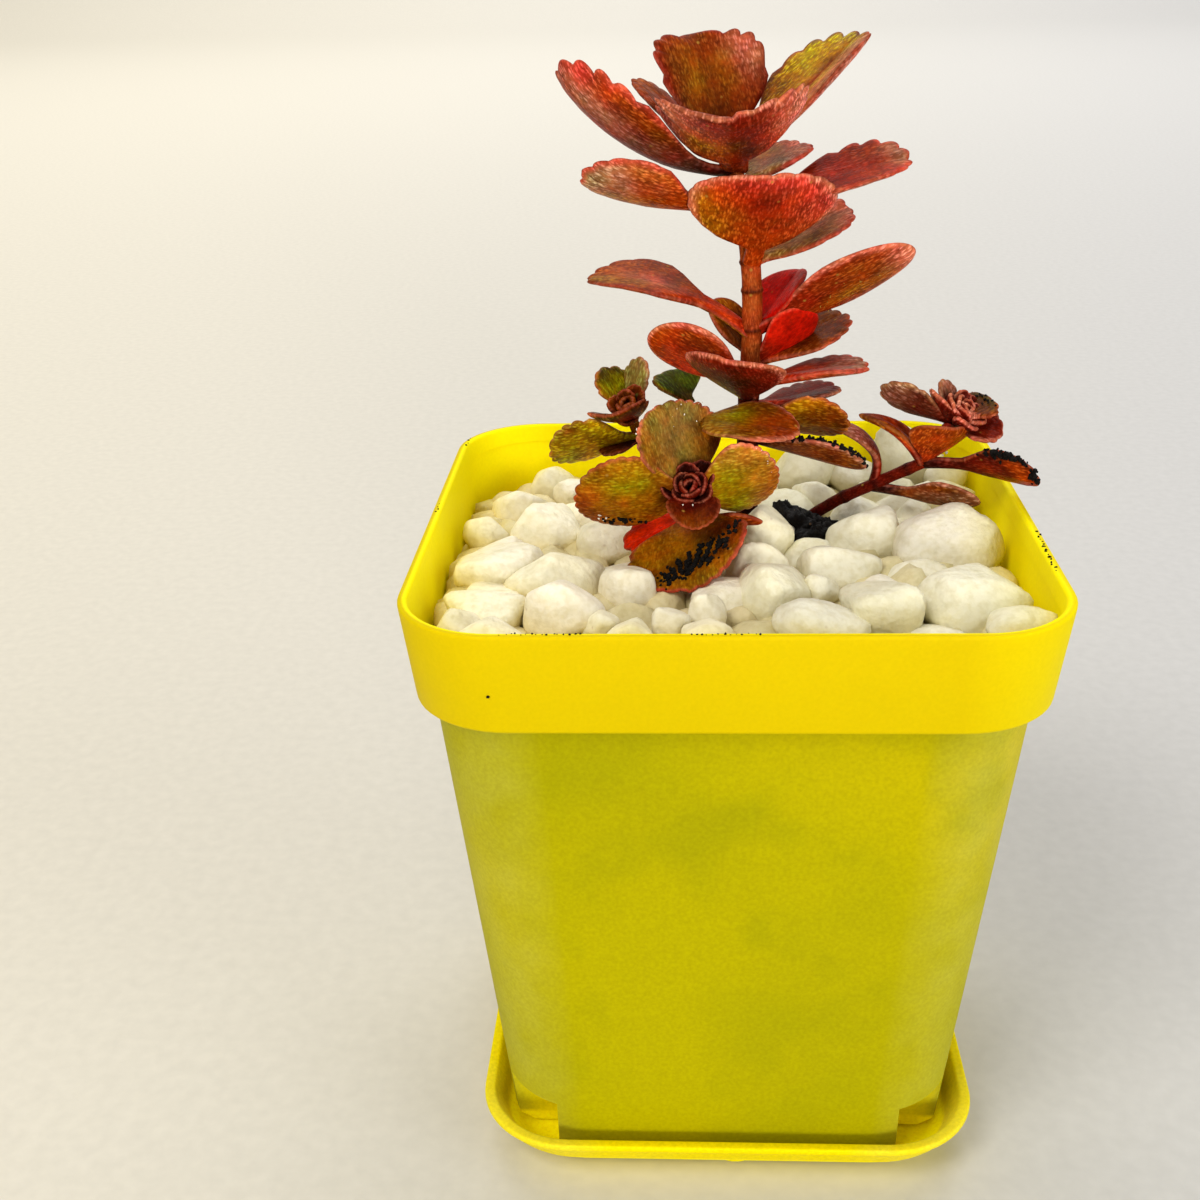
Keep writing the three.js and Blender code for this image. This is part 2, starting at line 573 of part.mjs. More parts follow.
// A tumbled stone: a coarse ball, slightly uneven, stretched, leaned and put in place
function stone([x, y, z, a, b, c, turn], seed) {
  const draw = seeded(seed);
  const ball = a > 4 ? new THREE.SphereGeometry(1, 7, 5) : new THREE.SphereGeometry(1, 6, 4);
  ball.rotateX(Math.PI / 2).deleteAttribute("uv").deleteAttribute("normal");
  const geometry = mergeVertices(ball, 1e-3);
  const leans = [0.3 * (draw() - 0.5), 0.3 * (draw() - 0.5)];
  const lean = new THREE.Euler(...leans, THREE.MathUtils.degToRad(turn));
  const position = geometry.attributes.position;
  for (let v = 0; v < position.count; v++) {
    const p = new THREE.Vector3().fromBufferAttribute(position, v);
    p.multiplyScalar(1.02 + 0.08 * (draw() - 0.5)).multiply(new THREE.Vector3(a, b, c)).applyEuler(lean);
    position.setXYZ(v, p.x + x, p.y + y, p.z + z);
  }
  return solidFrom(geometry);
}

function clods(extra) {
  const made = CLODS.map(([x, y, z, radius], k) => {
    const grown = radius + extra;
    return stone([x, y, z, grown, grown, grown, 0], 40 + k);
  });
  return joined(made);
}

function stemHoles() {
  const routes = ["main", "front", "left", "right"];
  return joined(routes.map((route) => tube(route, 10, FIT_GAP + 0.1, FIT_GAP)));
}

// The soil's neck, which rises to the clods through the bed of stones
function soilNeck(extra) {
  const neck = new THREE.CylinderGeometry(3 + extra, 4 + extra, NECK_HEIGHT, 10);
  neck.rotateX(Math.PI / 2).translate(10.7, 14, SOIL_TOP + NECK_HEIGHT / 2 - 1);
  return solidFrom(neck);
}

function soilSolid() {
  const fill = cavity(FIT_GAP, CAVITY_FLOOR + FIT_GAP, SOIL_TOP).subtract(footNotches(WALL + FIT_GAP));
  return joined([fill, soilNeck(0), clods(0)]).subtract(stemHoles());
}

function stonesSolid() {
  const core = squareLoft([
    [bodyHalf(SOIL_TOP) - WALL - FIT_GAP - 0.5, CORNER_RADIUS - 2, SOIL_TOP + FIT_GAP],
    [bodyHalf(SOIL_TOP) - WALL - FIT_GAP - 0.5, CORNER_RADIUS - 2, STONE_BED_CORE, STONE_BED_SLOPE],
  ]);
  const room = cavity(FIT_GAP, SOIL_TOP + FIT_GAP, POT_TOP + 4);
  const stones = [...STONES, ...drawnStones()].map((row, k) => stone(row, 100 + k));
  const filled = joined([core, ...stones]).intersect(room);
  return filled.subtract(clods(0.45)).subtract(soilNeck(0.4)).subtract(stemHoles());
}

// The scene graph, one named mesh for each piece
const FINISH = {
  pot: { color: 0xe8e300, roughness: 0.5 },
  stone: { color: 0xe9e6dc, roughness: 0.55 },
  soil: { color: 0x17100d, roughness: 0.95 },
  redLeaf: { color: 0x8c3a2a, roughness: 0.5 },
  oliveLeaf: { color: 0x7d7024, roughness: 0.5 },
};

function piece(name, solid, finish) {
  const material = new THREE.MeshStandardMaterial({ metalness: 0, ...finish });
  const mesh = new THREE.Mesh(geometryFrom(oneBody(solid)), material);
  mesh.name = name;
  return mesh;
}

const plant = new THREE.Group();
plant.add(
  piece("main_shoot", twig("main"), FINISH.redLeaf),
  piece("front_shoot", twig("front").add(twig("low")), FINISH.oliveLeaf),
  piece("left_shoot", twig("left").add(twig("leftBack")), FINISH.oliveLeaf),
  piece("right_shoot", twig("right").add(twig("rightTip")), FINISH.redLeaf),
);
const filling = new THREE.Group();
filling.add(piece("soil", soilSolid(), FINISH.soil), piece("pebbles", stonesSolid(), FINISH.stone));
const vessel = new THREE.Group();
vessel.add(piece("saucer", saucerSolid(), FINISH.pot), piece("pot", potSolid(), FINISH.pot));

const pottedStonecrop = new THREE.Group();
pottedStonecrop.add(vessel, filling, plant);

export default pottedStonecrop;
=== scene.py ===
"""Looks of a small stonecrop in a square yellow plastic pot on its saucer.

Sizes and places in the tables are in millimetres, as measured on the plant; meshes are written in metres.
"""
import math
from functools import partial

import bpy
import numpy as np
from mathutils import Matrix


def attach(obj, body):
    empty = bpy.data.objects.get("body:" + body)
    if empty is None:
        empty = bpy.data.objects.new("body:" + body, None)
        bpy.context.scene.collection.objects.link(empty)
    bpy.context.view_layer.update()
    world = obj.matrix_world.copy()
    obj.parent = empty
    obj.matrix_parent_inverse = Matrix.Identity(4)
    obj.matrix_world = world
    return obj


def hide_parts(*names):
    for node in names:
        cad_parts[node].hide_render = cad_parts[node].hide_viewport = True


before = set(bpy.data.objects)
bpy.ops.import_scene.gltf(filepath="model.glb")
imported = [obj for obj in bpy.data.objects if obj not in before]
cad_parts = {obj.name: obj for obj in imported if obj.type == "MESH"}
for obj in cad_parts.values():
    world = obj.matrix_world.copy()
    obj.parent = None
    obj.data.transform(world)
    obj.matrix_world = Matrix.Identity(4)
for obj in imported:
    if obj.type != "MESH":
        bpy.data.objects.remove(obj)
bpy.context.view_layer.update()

MM = 0.001

# The photograph's viewpoint: where the camera stands, its right and up directions, and its lens
VIEW_FROM = (-5.747, -182.290, 149.705)
VIEW_RIGHT = (0.99861, 0.04722, -0.02358)
VIEW_UP = (0.00240, 0.40566, 0.91402)
LENS = 46.05

# Pot and saucer
FIT_GAP = 0.3
POT_WIDTH = 75
POT_TOP = 81.2
BAND_HEIGHT = 12.35
BAND_TAPER = 1.3
BODY_TOP_HALF = 34.55
BODY_FOOT_HALF = 28.45
FOOT_CHAMFER = 1.2
CORNER_RADIUS = 11.6
WALL = 1.15
FOOT_NOTCH = 6.6
FOOT_NOTCH_TOP = 10.4
POT_FLOOR = 1.8
DRAIN_RADIUS = 3
DRAIN_OFFSET = 12
DRAIN_SIDES = 24
SAUCER_FLOOR = 1.6
SAUCER_HEIGHT = 7
SAUCER_HALF = 32.2
SAUCER_BASE_HALF = 26.4
SAUCER_LIP = 1.3
SOIL_TOP = 68.7
POT_FOOT = SAUCER_FLOOR + FIT_GAP
BAND_BOTTOM = POT_TOP - BAND_HEIGHT
RIM_HALF = POT_WIDTH / 2
BAND_BOTTOM_HALF = RIM_HALF - BAND_TAPER
CAVITY_FLOOR = POT_FOOT + POT_FLOOR
LEDGE = BAND_BOTTOM + WALL
EDGE_ANGLE = math.radians(38)

GOLDEN_TURN = math.radians(137.5)
CORNER_STEPS = 14
FILLET_STEPS = 4

# Colours as seen on the object, red, green and blue from 0 to 255
COLOURS = {
    "soot": (42, 10, 6),
    "wine": (92, 22, 10),
    "garnet": (122, 30, 10),
    "scarlet": (214, 16, 2),
    "crimson": (186, 28, 14),
    "fire": (236, 52, 6),
    "flame": (178, 50, 10),
    "ember": (152, 58, 8),
    "rust": (136, 60, 12),
    "umber": (112, 56, 8),
    "amber": (156, 96, 12),
    "fern": (72, 92, 8),
    "olive": (156, 108, 8),
    "sage": (146, 138, 84),
    "moss": (74, 66, 6),
    "leaf": (140, 134, 6),
    "lime": (186, 166, 14),
    "straw": (166, 124, 50),
    "copper": (168, 84, 36),
    "rose": (186, 66, 64),
    "blush": (206, 126, 124),
    "mauve": (158, 112, 112),
    "ash": (164, 132, 120),
    "plum": (92, 38, 30),
    "bark": (160, 76, 36),
    "loam": (12, 8, 6),
    "fibre": (120, 92, 66),
    "grit": (235, 228, 214),
    "cream": (250, 243, 222),
    "warm lit paper": (211, 205, 190),
    "cool shaded paper": (189, 189, 191),
}


def linear(colour):
    """Scene-linear RGB of a named colour, by the standard display curve."""
    share = np.asarray(COLOURS[colour] if isinstance(colour, str) else colour, float) / 255
    return np.where(share <= 0.04045, share / 12.92, ((share + 0.055) / 1.055) ** 2.4)


def smooth_step(low, high, value):
    """0 below low, 1 above high, and the cubic 3t^2 - 2t^3 between them."""
    t = np.clip((value - low) / (high - low), 0, 1)
    return t * t * (3 - 2 * t)


def blend(a, b, share):
    """a and b mixed row by row by a share from 0 to 1."""
    return a + (b - a) * np.asarray(share)[..., None]


def unit(vectors):
    return vectors / np.maximum(np.linalg.norm(vectors, axis=-1, keepdims=True), 1e-12)


def imul(a, b):
    """The low 32 bits of a product."""
    return (a * b) & 0xFFFFFFFF


def seeded(seed):
    """Repeatable draws between 0 and 1 that follow from the seed alone."""
    state = seed
    while True:
        state = (state + 0x6D2B79F5) & 0xFFFFFFFF
        t = imul(state ^ (state >> 15), 1 | state)
        t = ((t + imul(t ^ (t >> 7), 61 | t)) & 0xFFFFFFFF) ^ t
        yield (t ^ (t >> 14)) / 4294967296


# Shapes are dicts: points (n, 3) in mm, faces as arrays of corners, and fields with one row for each point


def shape_of(points, faces, **fields):
    return {"points": np.asarray(points, float), "faces": list(faces), "fields": fields}


def stack(shapes):
    """Several shapes as one, with each shape's corners counted on from those before it."""
    starts = np.cumsum([0] + [len(s["points"]) for s in shapes])
    faces = [f + start for s, start in zip(shapes, starts) for f in s["faces"]]
    fields = {key: np.concatenate([s["fields"][key] for s in shapes]) for key in shapes[0]["fields"]}
    return shape_of(np.concatenate([s["points"] for s in shapes]), faces, **fields)


def grid_quads(index):
    """Quads between the rows and columns of a grid of point numbers."""
    return np.stack([index[:-1, :-1], index[1:, :-1], index[1:, 1:], index[:-1, 1:]], axis=-1).reshape(-1, 4)


def tube(points, **fields):
    """A closed body through rings of points (rings, around, 3), with a flat cap at each end."""
    rings, around = points.shape[:2]
    index = np.arange(rings * around).reshape(rings, around)
    after = np.roll(index, -1, axis=1)
    walls = np.stack([index[:-1], after[:-1], after[1:], index[1:]], axis=-1).reshape(-1, 4)
    return shape_of(points.reshape(-1, 3), [walls, index[:1, ::-1], index[-1:]], **fields)


def mesh_of(name, shape, sharp_above=None):
    """A Blender mesh of a shape, in metres, smooth except across edges sharper than the given angle."""
    mesh = bpy.data.meshes.new(name)
    corners = np.concatenate([f.ravel() for f in shape["faces"]]).astype(np.int32)
    sizes = np.concatenate([np.full(len(f), f.shape[1]) for f in shape["faces"]])
    mesh.vertices.add(len(shape["points"]))
    mesh.vertices.foreach_set("co", (shape["points"] * MM).astype(np.float32).ravel())
    mesh.loops.add(len(corners))
    mesh.loops.foreach_set("vertex_index", corners)
    mesh.polygons.add(len(sizes))
    mesh.polygons.foreach_set("loop_start", (np.cumsum(sizes) - sizes).astype(np.int32))
    mesh.update(calc_edges=True)
    for key, values in shape["fields"].items():
        if key == "grain":
            layer = mesh.uv_layers.new(name=key)
            layer.data.foreach_set("uv", values[corners].astype(np.float32).ravel())
        elif values.ndim == 2:
            layer = mesh.attributes.new(key, "FLOAT_COLOR", "POINT")
            rgba = np.concatenate([values, np.ones((len(values), 1))], axis=1)
            layer.data.foreach_set("color", rgba.astype(np.float32).ravel())
        else:
            layer = mesh.attributes.new(key, "FLOAT", "POINT")
            layer.data.foreach_set("value", values.astype(np.float32))
    mesh.polygons.foreach_set("use_smooth", np.ones(len(sizes), bool))
    if sharp_above is not None:
        mesh.set_sharp_from_angle(angle=math.radians(sharp_above))
    return mesh


def placed(name, data):
    """A new object of the scene, at the origin."""
    made = bpy.data.objects.new(name, data)
    bpy.context.scene.collection.objects.link(made)
    return made


def add_piece(name, mesh, material, node):
    """A mesh as a piece of the object that stands for one CAD node."""
    piece = placed(name, mesh)
    piece.data.materials.append(material)
    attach(piece, "root")
    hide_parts(node)
    return piece


def add_shape(name, shape, material, node, sharp_above=None):
    """A shape as a piece of the object."""
    return add_piece(name, mesh_of(name, shape, sharp_above), material, node)


def rounded_profile(profile):
    """A profile of (half width, corner radius, height, fillet) rows with each corner rounded.

    Each corner P gives the quadratic curve from P + f towards the row before to P + f towards the row
    after, with P as its middle control point; rows with no fillet stay sharp."""
    rows = [np.array(row[:3], float) for row in profile]
    made = []
    for k, row in enumerate(rows):
        fillet = profile[k][3] if len(profile[k]) > 3 else 0
        if not fillet or k in (0, len(rows) - 1):
            made.append(row)
            continue
        ends = []
        for other in (rows[k - 1], rows[k + 1]):
            reach = np.hypot(other[0] - row[0], other[2] - row[2])
            ends.append(row + (other - row) * min(1, fillet / reach))
        for t in np.linspace(0, 1, FILLET_STEPS + 1):
            made.append((1 - t) ** 2 * ends[0] + 2 * t * (1 - t) * row + t**2 * ends[1])
    return np.array(made)


def square_loft(profile, slope=0):
    """A body lofted through square rings with round corners.

    Ring k has half width h and corner radius r: each corner is the arc (h - r) + r (cos, sin) in equal
    turns, at height z + slope times y. The first and last rings close with flat caps."""
    rows = rounded_profile(profile)
    half, radius, height = (rows[:, k, None] for k in range(3))
    corner, step = np.divmod(np.arange(4 * (CORNER_STEPS + 1)), CORNER_STEPS + 1)
    turn = (corner + step / CORNER_STEPS) * math.pi / 2
    side_x = np.where((corner == 0) | (corner == 3), 1, -1)
    side_y = np.where(corner < 2, 1, -1)
    x = side_x * (half - radius) + radius * np.cos(turn)
    y = side_y * (half - radius) + radius * np.sin(turn)
    return tube(np.stack([x, y, height + slope * y], axis=-1))


def body_half(z):
    return np.interp(z, [POT_FOOT, BAND_BOTTOM], [BODY_FOOT_HALF, BODY_TOP_HALF])


def band_half(z):
    return BAND_BOTTOM_HALF + (RIM_HALF - BAND_BOTTOM_HALF) * (z - BAND_BOTTOM) / BAND_HEIGHT


def cavity(margin, bottom, top, open_above=0):
    """The pot's inside, drawn in by a margin; it steps out at the ledge behind the band."""
    inner = CORNER_RADIUS - WALL - margin
    low = min(top, LEDGE - 0.2)
    profile = [
        (body_half(bottom) - WALL - margin, inner, bottom),
        (body_half(low) - WALL - margin, inner, low, 0.3),
    ]
    if top > LEDGE:
        profile.append((band_half(LEDGE + 0.8) - WALL - margin, inner, LEDGE + 0.8 + margin, 0.3))
        profile.append((band_half(top) - WALL - margin, inner, top + open_above))
    return square_loft(profile)


def boxes(ranges):
    """Axis-aligned boxes, each from its lowest to its highest corner."""
    corners = np.array([[i & 1, i >> 1 & 1, i >> 2] for i in range(8)])
    sides = [[0, 2, 3, 1], [4, 5, 7, 6], [0, 1, 5, 4], [2, 6, 7, 3], [0, 4, 6, 2], [1, 3, 7, 5]]
    made = []
    for low, high in ranges:
        low, high = np.array(low, float), np.array(high, float)
        made.append(shape_of(low + corners * (high - low), [np.array(sides)]))
    return stack(made)


def foot_notches(margin):
    """The square cuts at the foot's four corners, grown by a margin."""
    near, far = BODY_FOOT_HALF - FOOT_NOTCH - margin, BODY_FOOT_HALF + FOOT_NOTCH
    spans = [(-far, -near), (near, far)]
    top = FOOT_NOTCH_TOP + margin
    return boxes([((x[0], y[0], -FIT_GAP), (x[1], y[1], top)) for x in spans for y in spans])


def drains():
    """Round pegs through the floor where water leaves: one in the middle and one towards each corner."""
    turn = np.arange(DRAIN_SIDES) * 2 * math.pi / DRAIN_SIDES
    circle = np.stack([np.cos(turn), np.sin(turn)], axis=1) * DRAIN_RADIUS
    heights = (POT_FOOT - 1, CAVITY_FLOOR + 1)
    pegs = []
    for x, y in ((0, 0), (1, 1), (1, -1), (-1, 1), (-1, -1)):
        ring = circle + np.array([x, y]) * DRAIN_OFFSET
        pegs.append(tube(np.array([np.column_stack([ring, np.full(DRAIN_SIDES, z)]) for z in heights])))
    return stack(pegs)


def carved(name, shape, cutters):
    """A mesh of a shape less several cutters, by exact boolean differences."""
    body = placed(name, mesh_of(name, shape))
    tools = []
    for k, cutter in enumerate(cutters):
        mesh = cutter if isinstance(cutter, bpy.types.Mesh) else mesh_of(f"{name}_cut", cutter)
        tools.append(placed(f"{name}_cut{k}", mesh))
        change = body.modifiers.new(f"cut{k}", "BOOLEAN")
        change.operation = "DIFFERENCE"
        change.solver = "EXACT"
        change.object = tools[-1]
    seen = body.evaluated_get(bpy.context.evaluated_depsgraph_get())
    made = bpy.data.meshes.new_from_object(seen)
    made.name = name
    for thing in [body, *tools]:
        bpy.data.objects.remove(thing)
    return made


def finish_moulding(piece, width):
    """Small round edges, as a mould leaves them, and smooth walls between them."""
    mesh = piece.data
    mesh.polygons.foreach_set("use_smooth", np.ones(len(mesh.polygons), bool))
    mesh.set_sharp_from_angle(angle=EDGE_ANGLE)
    bevel = piece.modifiers.new("edges", "BEVEL")
    bevel.width = width * MM
    bevel.segments = 2
    bevel.limit_method = "ANGLE"
    bevel.angle_limit = EDGE_ANGLE


def pot_mesh():
    outer = square_loft([
        (BODY_FOOT_HALF - FOOT_CHAMFER, CORNER_RADIUS, POT_FOOT),
        (body_half(POT_FOOT + FOOT_CHAMFER), CORNER_RADIUS, POT_FOOT + FOOT_CHAMFER, 0.3),
        (BODY_TOP_HALF, CORNER_RADIUS, BAND_BOTTOM, 0.35),
        (BAND_BOTTOM_HALF, CORNER_RADIUS, BAND_BOTTOM, 0.5),
        (RIM_HALF, CORNER_RADIUS, POT_TOP, 0.45),
        (RIM_HALF - WALL, CORNER_RADIUS - WALL, POT_TOP, 0.4),
        (RIM_HALF - WALL - 0.4, CORNER_RADIUS - WALL, POT_TOP - 3),
        (RIM_HALF - WALL - 3, CORNER_RADIUS - WALL, POT_TOP - 3.2),
    ])
    inside = carved("inside", cavity(0, CAVITY_FLOOR, POT_TOP - 2, -0.4), [foot_notches(WALL)])
    made = carved("pot_moulding", outer, [inside, foot_notches(0), drains()])
    mark_inside(made)
    return made


def mark_inside(mesh):
    """A point attribute: 0 on the pot's outer wall and 1 within, by the distance inwards of its outline.

    The distance from a square with round corners is |max(q, 0)| + min(max(q), 0) - r, with q = |xy| - (h -
    r)."""
    points = np.empty(len(mesh.vertices) * 3, np.float32)
    mesh.vertices.foreach_get("co", points)
    x, y, z = points.reshape(-1, 3).T / MM
    half = np.where(z < BAND_BOTTOM, body_half(z), band_half(z))
    q = np.abs(np.stack([x, y], axis=-1)) - (half - CORNER_RADIUS)[:, None]
    depth = CORNER_RADIUS - np.linalg.norm(np.maximum(q, 0), axis=1) - np.minimum(q.max(axis=1), 0)
    inside = depth > WALL * 0.6
    layer = mesh.attributes.new("inner", "FLOAT", "POINT")
    layer.data.foreach_set("value", inside.astype(np.float32))


def saucer_shape():
    base, lip = CORNER_RADIUS - 3, CORNER_RADIUS
    dish = square_loft([
        (SAUCER_BASE_HALF, base, 0),
        (SAUCER_BASE_HALF + 0.8, base + 0.4, 0.3, 0.4),
        (SAUCER_BASE_HALF + 2.1, base + 1, 1.6, 0.8),
        (SAUCER_BASE_HALF + 3.9, base + 1.8, 3.4, 1.2),
        (SAUCER_HALF - 0.6, lip - 0.5, SAUCER_HEIGHT - 1.4, 0.5),
        (SAUCER_HALF, lip, SAUCER_HEIGHT - 0.8, 0.3),
        (SAUCER_HALF, lip, SAUCER_HEIGHT, 0.3),
        (SAUCER_HALF - SAUCER_LIP, lip - 1, SAUCER_HEIGHT - 0.05, 0.3),
        (SAUCER_HALF - SAUCER_LIP - 0.9, lip - 1.6, SAUCER_HEIGHT - 1.7, 0.6),
        (SAUCER_BASE_HALF + 2.8, base + 0.8, 3.4, 0.8),
        (SAUCER_BASE_HALF + 1, base, SAUCER_FLOOR, 0.6),
        (SAUCER_BASE_HALF - 2, base - 2, SAUCER_FLOOR),
    ])
    mark = ball(20, 12)
    mark["points"] = mark["points"] * (1.9, 0.5, 0.7) + (1.1, -SAUCER_BASE_HALF - 2.1, 2.2)
    return stack([dish, mark])


def ball(around, up):
    """A unit sphere: points (sin b cos a, sin b sin a, cos b) over turns a and falls b, with single
    poles."""
    fall = np.linspace(0, math.pi, up + 1)[1:-1, None]
    turn = np.arange(around) * 2 * math.pi / around
    level = np.sin(fall)
    grid = np.stack([level * np.cos(turn), level * np.sin(turn), np.cos(fall) + 0 * turn], axis=-1)
    index = np.arange(grid.shape[0] * around).reshape(-1, around) + 1
    after = np.roll(index, -1, axis=1)
    quads = np.stack([index[:-1], index[1:], after[1:], after[:-1]], axis=-1).reshape(-1, 4)
    last = index[-1].max() + 1
    top = np.stack([np.zeros(around, int), index[0], after[0]], axis=-1)
    foot = np.stack([np.full(around, last), after[-1], index[-1]], axis=-1)
    points = np.concatenate([[[0, 0, 1]], grid.reshape(-1, 3), [[0, 0, -1]]])
    return shape_of(points, [quads, top, foot])


def turned(points, lean_x, lean_y, turn):
    """Points turned about Z by turn, then about Y by lean_y, then about X by lean_x."""
    (cx, sx), (cy, sy), (cz, sz) = ((math.cos(a), math.sin(a)) for a in (lean_x, lean_y, turn))
    about_x = np.array([[1, 0, 0], [0, cx, -sx], [0, sx, cx]])
    about_y = np.array([[cy, 0, sy], [0, 1, 0], [-sy, 0, cy]])
    about_z = np.array([[cz, -sz, 0], [sz, cz, 0], [0, 0, 1]])
    return points @ (about_x @ about_y @ about_z).T


def spread_ways(count):
    """Directions spread evenly over a sphere: equal steps in height, each a golden turn from the last."""
    k = np.arange(count)
    height = 1 - (2 * k + 1) / count
    turn = k * GOLDEN_TURN
    level = np.sqrt(1 - height**2)
    return np.stack([level * np.cos(turn), level * np.sin(turn), height], axis=-1)


def lumps(directions, rng, waves, size):
    """Low bumps over a sphere: the mean of several cosines of random direction and phase, times size."""
    total = np.zeros(len(directions))
    for reach in waves:
        total += np.cos(directions @ (unit(rng.normal(size=3)) * reach) + rng.uniform(0, 2 * math.pi))
    return size * total / len(waves)


# Stones that show: centre, half sizes and turn about Z in degrees
STONES = [
    (-28, -8, 76, 5.9, 4.8, 3.5, 20), (-32, 7, 75, 2.8, 2.8, 2.7, 0), (-28, 18, 74.5, 3.6, 3, 2.6, 0),
    (-23.2, 7, 75, 5.5, 4, 3, -15), (-24.5, 31, 73.5, 3.4, 2.8, 2.9, 0), (-21.5, 27, 73.5, 2.7, 2.5, 2.6, 0),
    (-20.5, -11.4, 76.3, 5.9, 4.5, 3, 20), (-28, -22, 77, 4.2, 3.2, 2.2, 0), (-26.5, -30, 77, 4, 3, 2.3, 0),
    (-19, -23, 77.3, 4.5, 3.8, 3.2, 0), (-14.5, -26, 77, 1.8, 1.8, 1.9, 0), (-15.5, 3, 75.3, 3.8, 3.4, 3, 0),
    (-12, -15, 76, 3.6, 3.2, 3.8, 0), (-11, -30, 77, 3, 2.8, 2.3, 0), (-7, -26, 77, 2.1, 2.1, 2.4, 0),
    (-3, -23.5, 77, 2.1, 2.2, 2.5, 0), (-3, -30, 77, 3, 2.5, 2.2, 0), (3.4, -10.5, 76, 4.2, 3.6, 4.4, 0),
    (5, -17, 76.8, 4.6, 4.4, 4.4, 40), (13, -7.5, 76, 5, 4, 3.1, 0), (10.7, -16, 77, 2, 2, 2, 0),
    (9.5, -26, 77, 5, 4, 2.9, 0), (17, -23, 77.2, 4.4, 4, 3.7, 0), (18.6, 4, 75.5, 4.6, 4.4, 4.2, 0),
    (25.6, 13, 74.5, 2.8, 2.6, 2.8, 0), (27.5, -0.5, 75.8, 6.8, 5.4, 4.4, 0),
    (26.5, -20.5, 77.2, 6.2, 5, 3.8, 0),
    (31.5, -27, 77, 3.5, 3, 2.3, 0), (31.5, 20, 74.5, 3, 3, 2.6, 0), (12, 28.5, 76, 4.6, 4, 3.8, 0),
    (13, 22, 74.5, 3.4, 3, 2.5, 0), (18.5, 29.5, 75.5, 4, 3.6, 3, 0), (27, 30, 77, 4.8, 3.4, 3.8, 0),
    (32, 27, 75.5, 3, 3, 2.8, 0), (5, 0, 77.4, 3.8, 3.2, 3.6, 0),
]
STONE_PITCH = 9
STONE_REACH = 35
BED_TOP = 75.4
BED_SLOPE = -0.05
FILLER_PITCH = 5.6
FILLER_DEPTH = 2.9
EDGE_COUNT = 12
EDGE_PITCH = 5.2
EDGE_LINE = 32.3
EDGE_DEPTH = 3.3
STONE_SIDES = 15
# Painted light and shade on the stones, as shares of red, green and blue
COOL_SIDE_LIGHT = (0.965, 0.99, 1.02)
WALL_REFLECTED_LIGHT = (1.0, 0.95, 0.55)
WARM_UNDERSIDE_SHADE = (0.92, 0.84, 0.56)
GREY_UNDERSIDE_SHADE = (0.78, 0.74, 0.58)
LOWER_LAYER_SHADE = (0.8, 0.74, 0.54)
BED_SHADE = (0.6, 0.52, 0.3)
BED_LOWER_HALF = 32.9
BED_UPPER_HALF = 34.4
CLODS = [(8.4, 13, 74.9, 2.2), (10.8, 11, 73.7, 3), (13.6, 9.4, 73.9, 2.2), (11.4, 7, 73.6, 2.6)]


def in_corner(x, y, size):
    """True where a stone of that size stays inside the pot's round corners."""
    core = STONE_REACH - CORNER_RADIUS
    beyond = math.hypot(max(0, abs(x) - core), max(0, abs(y) - core))
    return beyond < CORNER_RADIUS - size * 0.9


def clear_of_clods(x, y, reach):
    return all(math.hypot(x - clod_x, y - clod_y) > radius + reach for clod_x, clod_y, _, radius in CLODS)


def staggered(draw, count, pitch, squeeze, scatter):
    """Places in staggered rows, each moved a little by two draws; the caller's own draws for it follow."""
    for row in range(-count, count + 1):
        for column in range(-count, count + 1):
            x = (column + (0.5 if row % 2 else 0)) * pitch + scatter * (next(draw) - 0.5)
            yield x, row * pitch * squeeze + scatter * (next(draw) - 0.5)


def bedded(x, y, z, size, flat, turn):
    """A drawn stone's row as in STONES, on a bed that falls a little towards the back."""
    return x, y, z + BED_SLOPE * y, size, size * 0.85, size * flat, turn


def drawn_stones():
    """Stones drawn by rule between and behind those that show."""
    draw = seeded(7)
    stones = []
    for x, y in staggered(draw, 4, STONE_PITCH, 0.95, 2.4):
        size = 3.6 + 1.5 * next(draw)
        flat = 0.65 + 0.2 * next(draw)
        turn = 180 * next(draw)
        drop = 1.2 * next(draw)
        free = all(math.hypot(x - s[0], y - s[1]) > 0.62 * (size + (s[3] + s[4]) / 2) for s in STONES)
        inside = max(abs(x), abs(y)) < STONE_REACH - size * 0.9
        if free and inside and clear_of_clods(x, y, 0.6 * size) and in_corner(x, y, size):
            stones.append(bedded(x, y, BED_TOP - 1 - drop, size, flat, turn))
    return stones


def filler_stones():
    """Small stones of a lower layer, which close the gaps between the upper ones."""
    draw = seeded(19)
    stones = []
    for x, y in staggered(draw, 7, FILLER_PITCH, 0.9, 1.6):
        size = 2.9 + 0.9 * next(draw)
        turn = 180 * next(draw)
        inside = max(abs(x), abs(y)) < STONE_REACH - size * 0.6
        if inside and clear_of_clods(x, y, 0.75 * size) and in_corner(x, y, size * 0.7):
            stones.append(bedded(x, y, BED_TOP - FILLER_DEPTH + 0.8 * next(draw), size, 0.75, turn))
    return stones


def edge_stones():
    """Small stones along the four walls, which close the strip between the rows and the pot."""
    draw = seeded(29)
    stones = []
    for side in range(4):
        for k in range(EDGE_COUNT):
            along = (k - (EDGE_COUNT - 1) / 2) * EDGE_PITCH + 1.4 * (next(draw) - 0.5)
            size = 2.7 + 0.8 * next(draw)
            turn = 180 * next(draw)
            x, y = ((along, -EDGE_LINE), (EDGE_LINE, along), (along, EDGE_LINE), (-EDGE_LINE, along))[side]
            z = BED_TOP - EDGE_DEPTH + 0.9 * next(draw)
            if in_corner(x, y, size * 0.7):
                stones.append(bedded(x, y, z, size, 0.8, turn))
    return stones


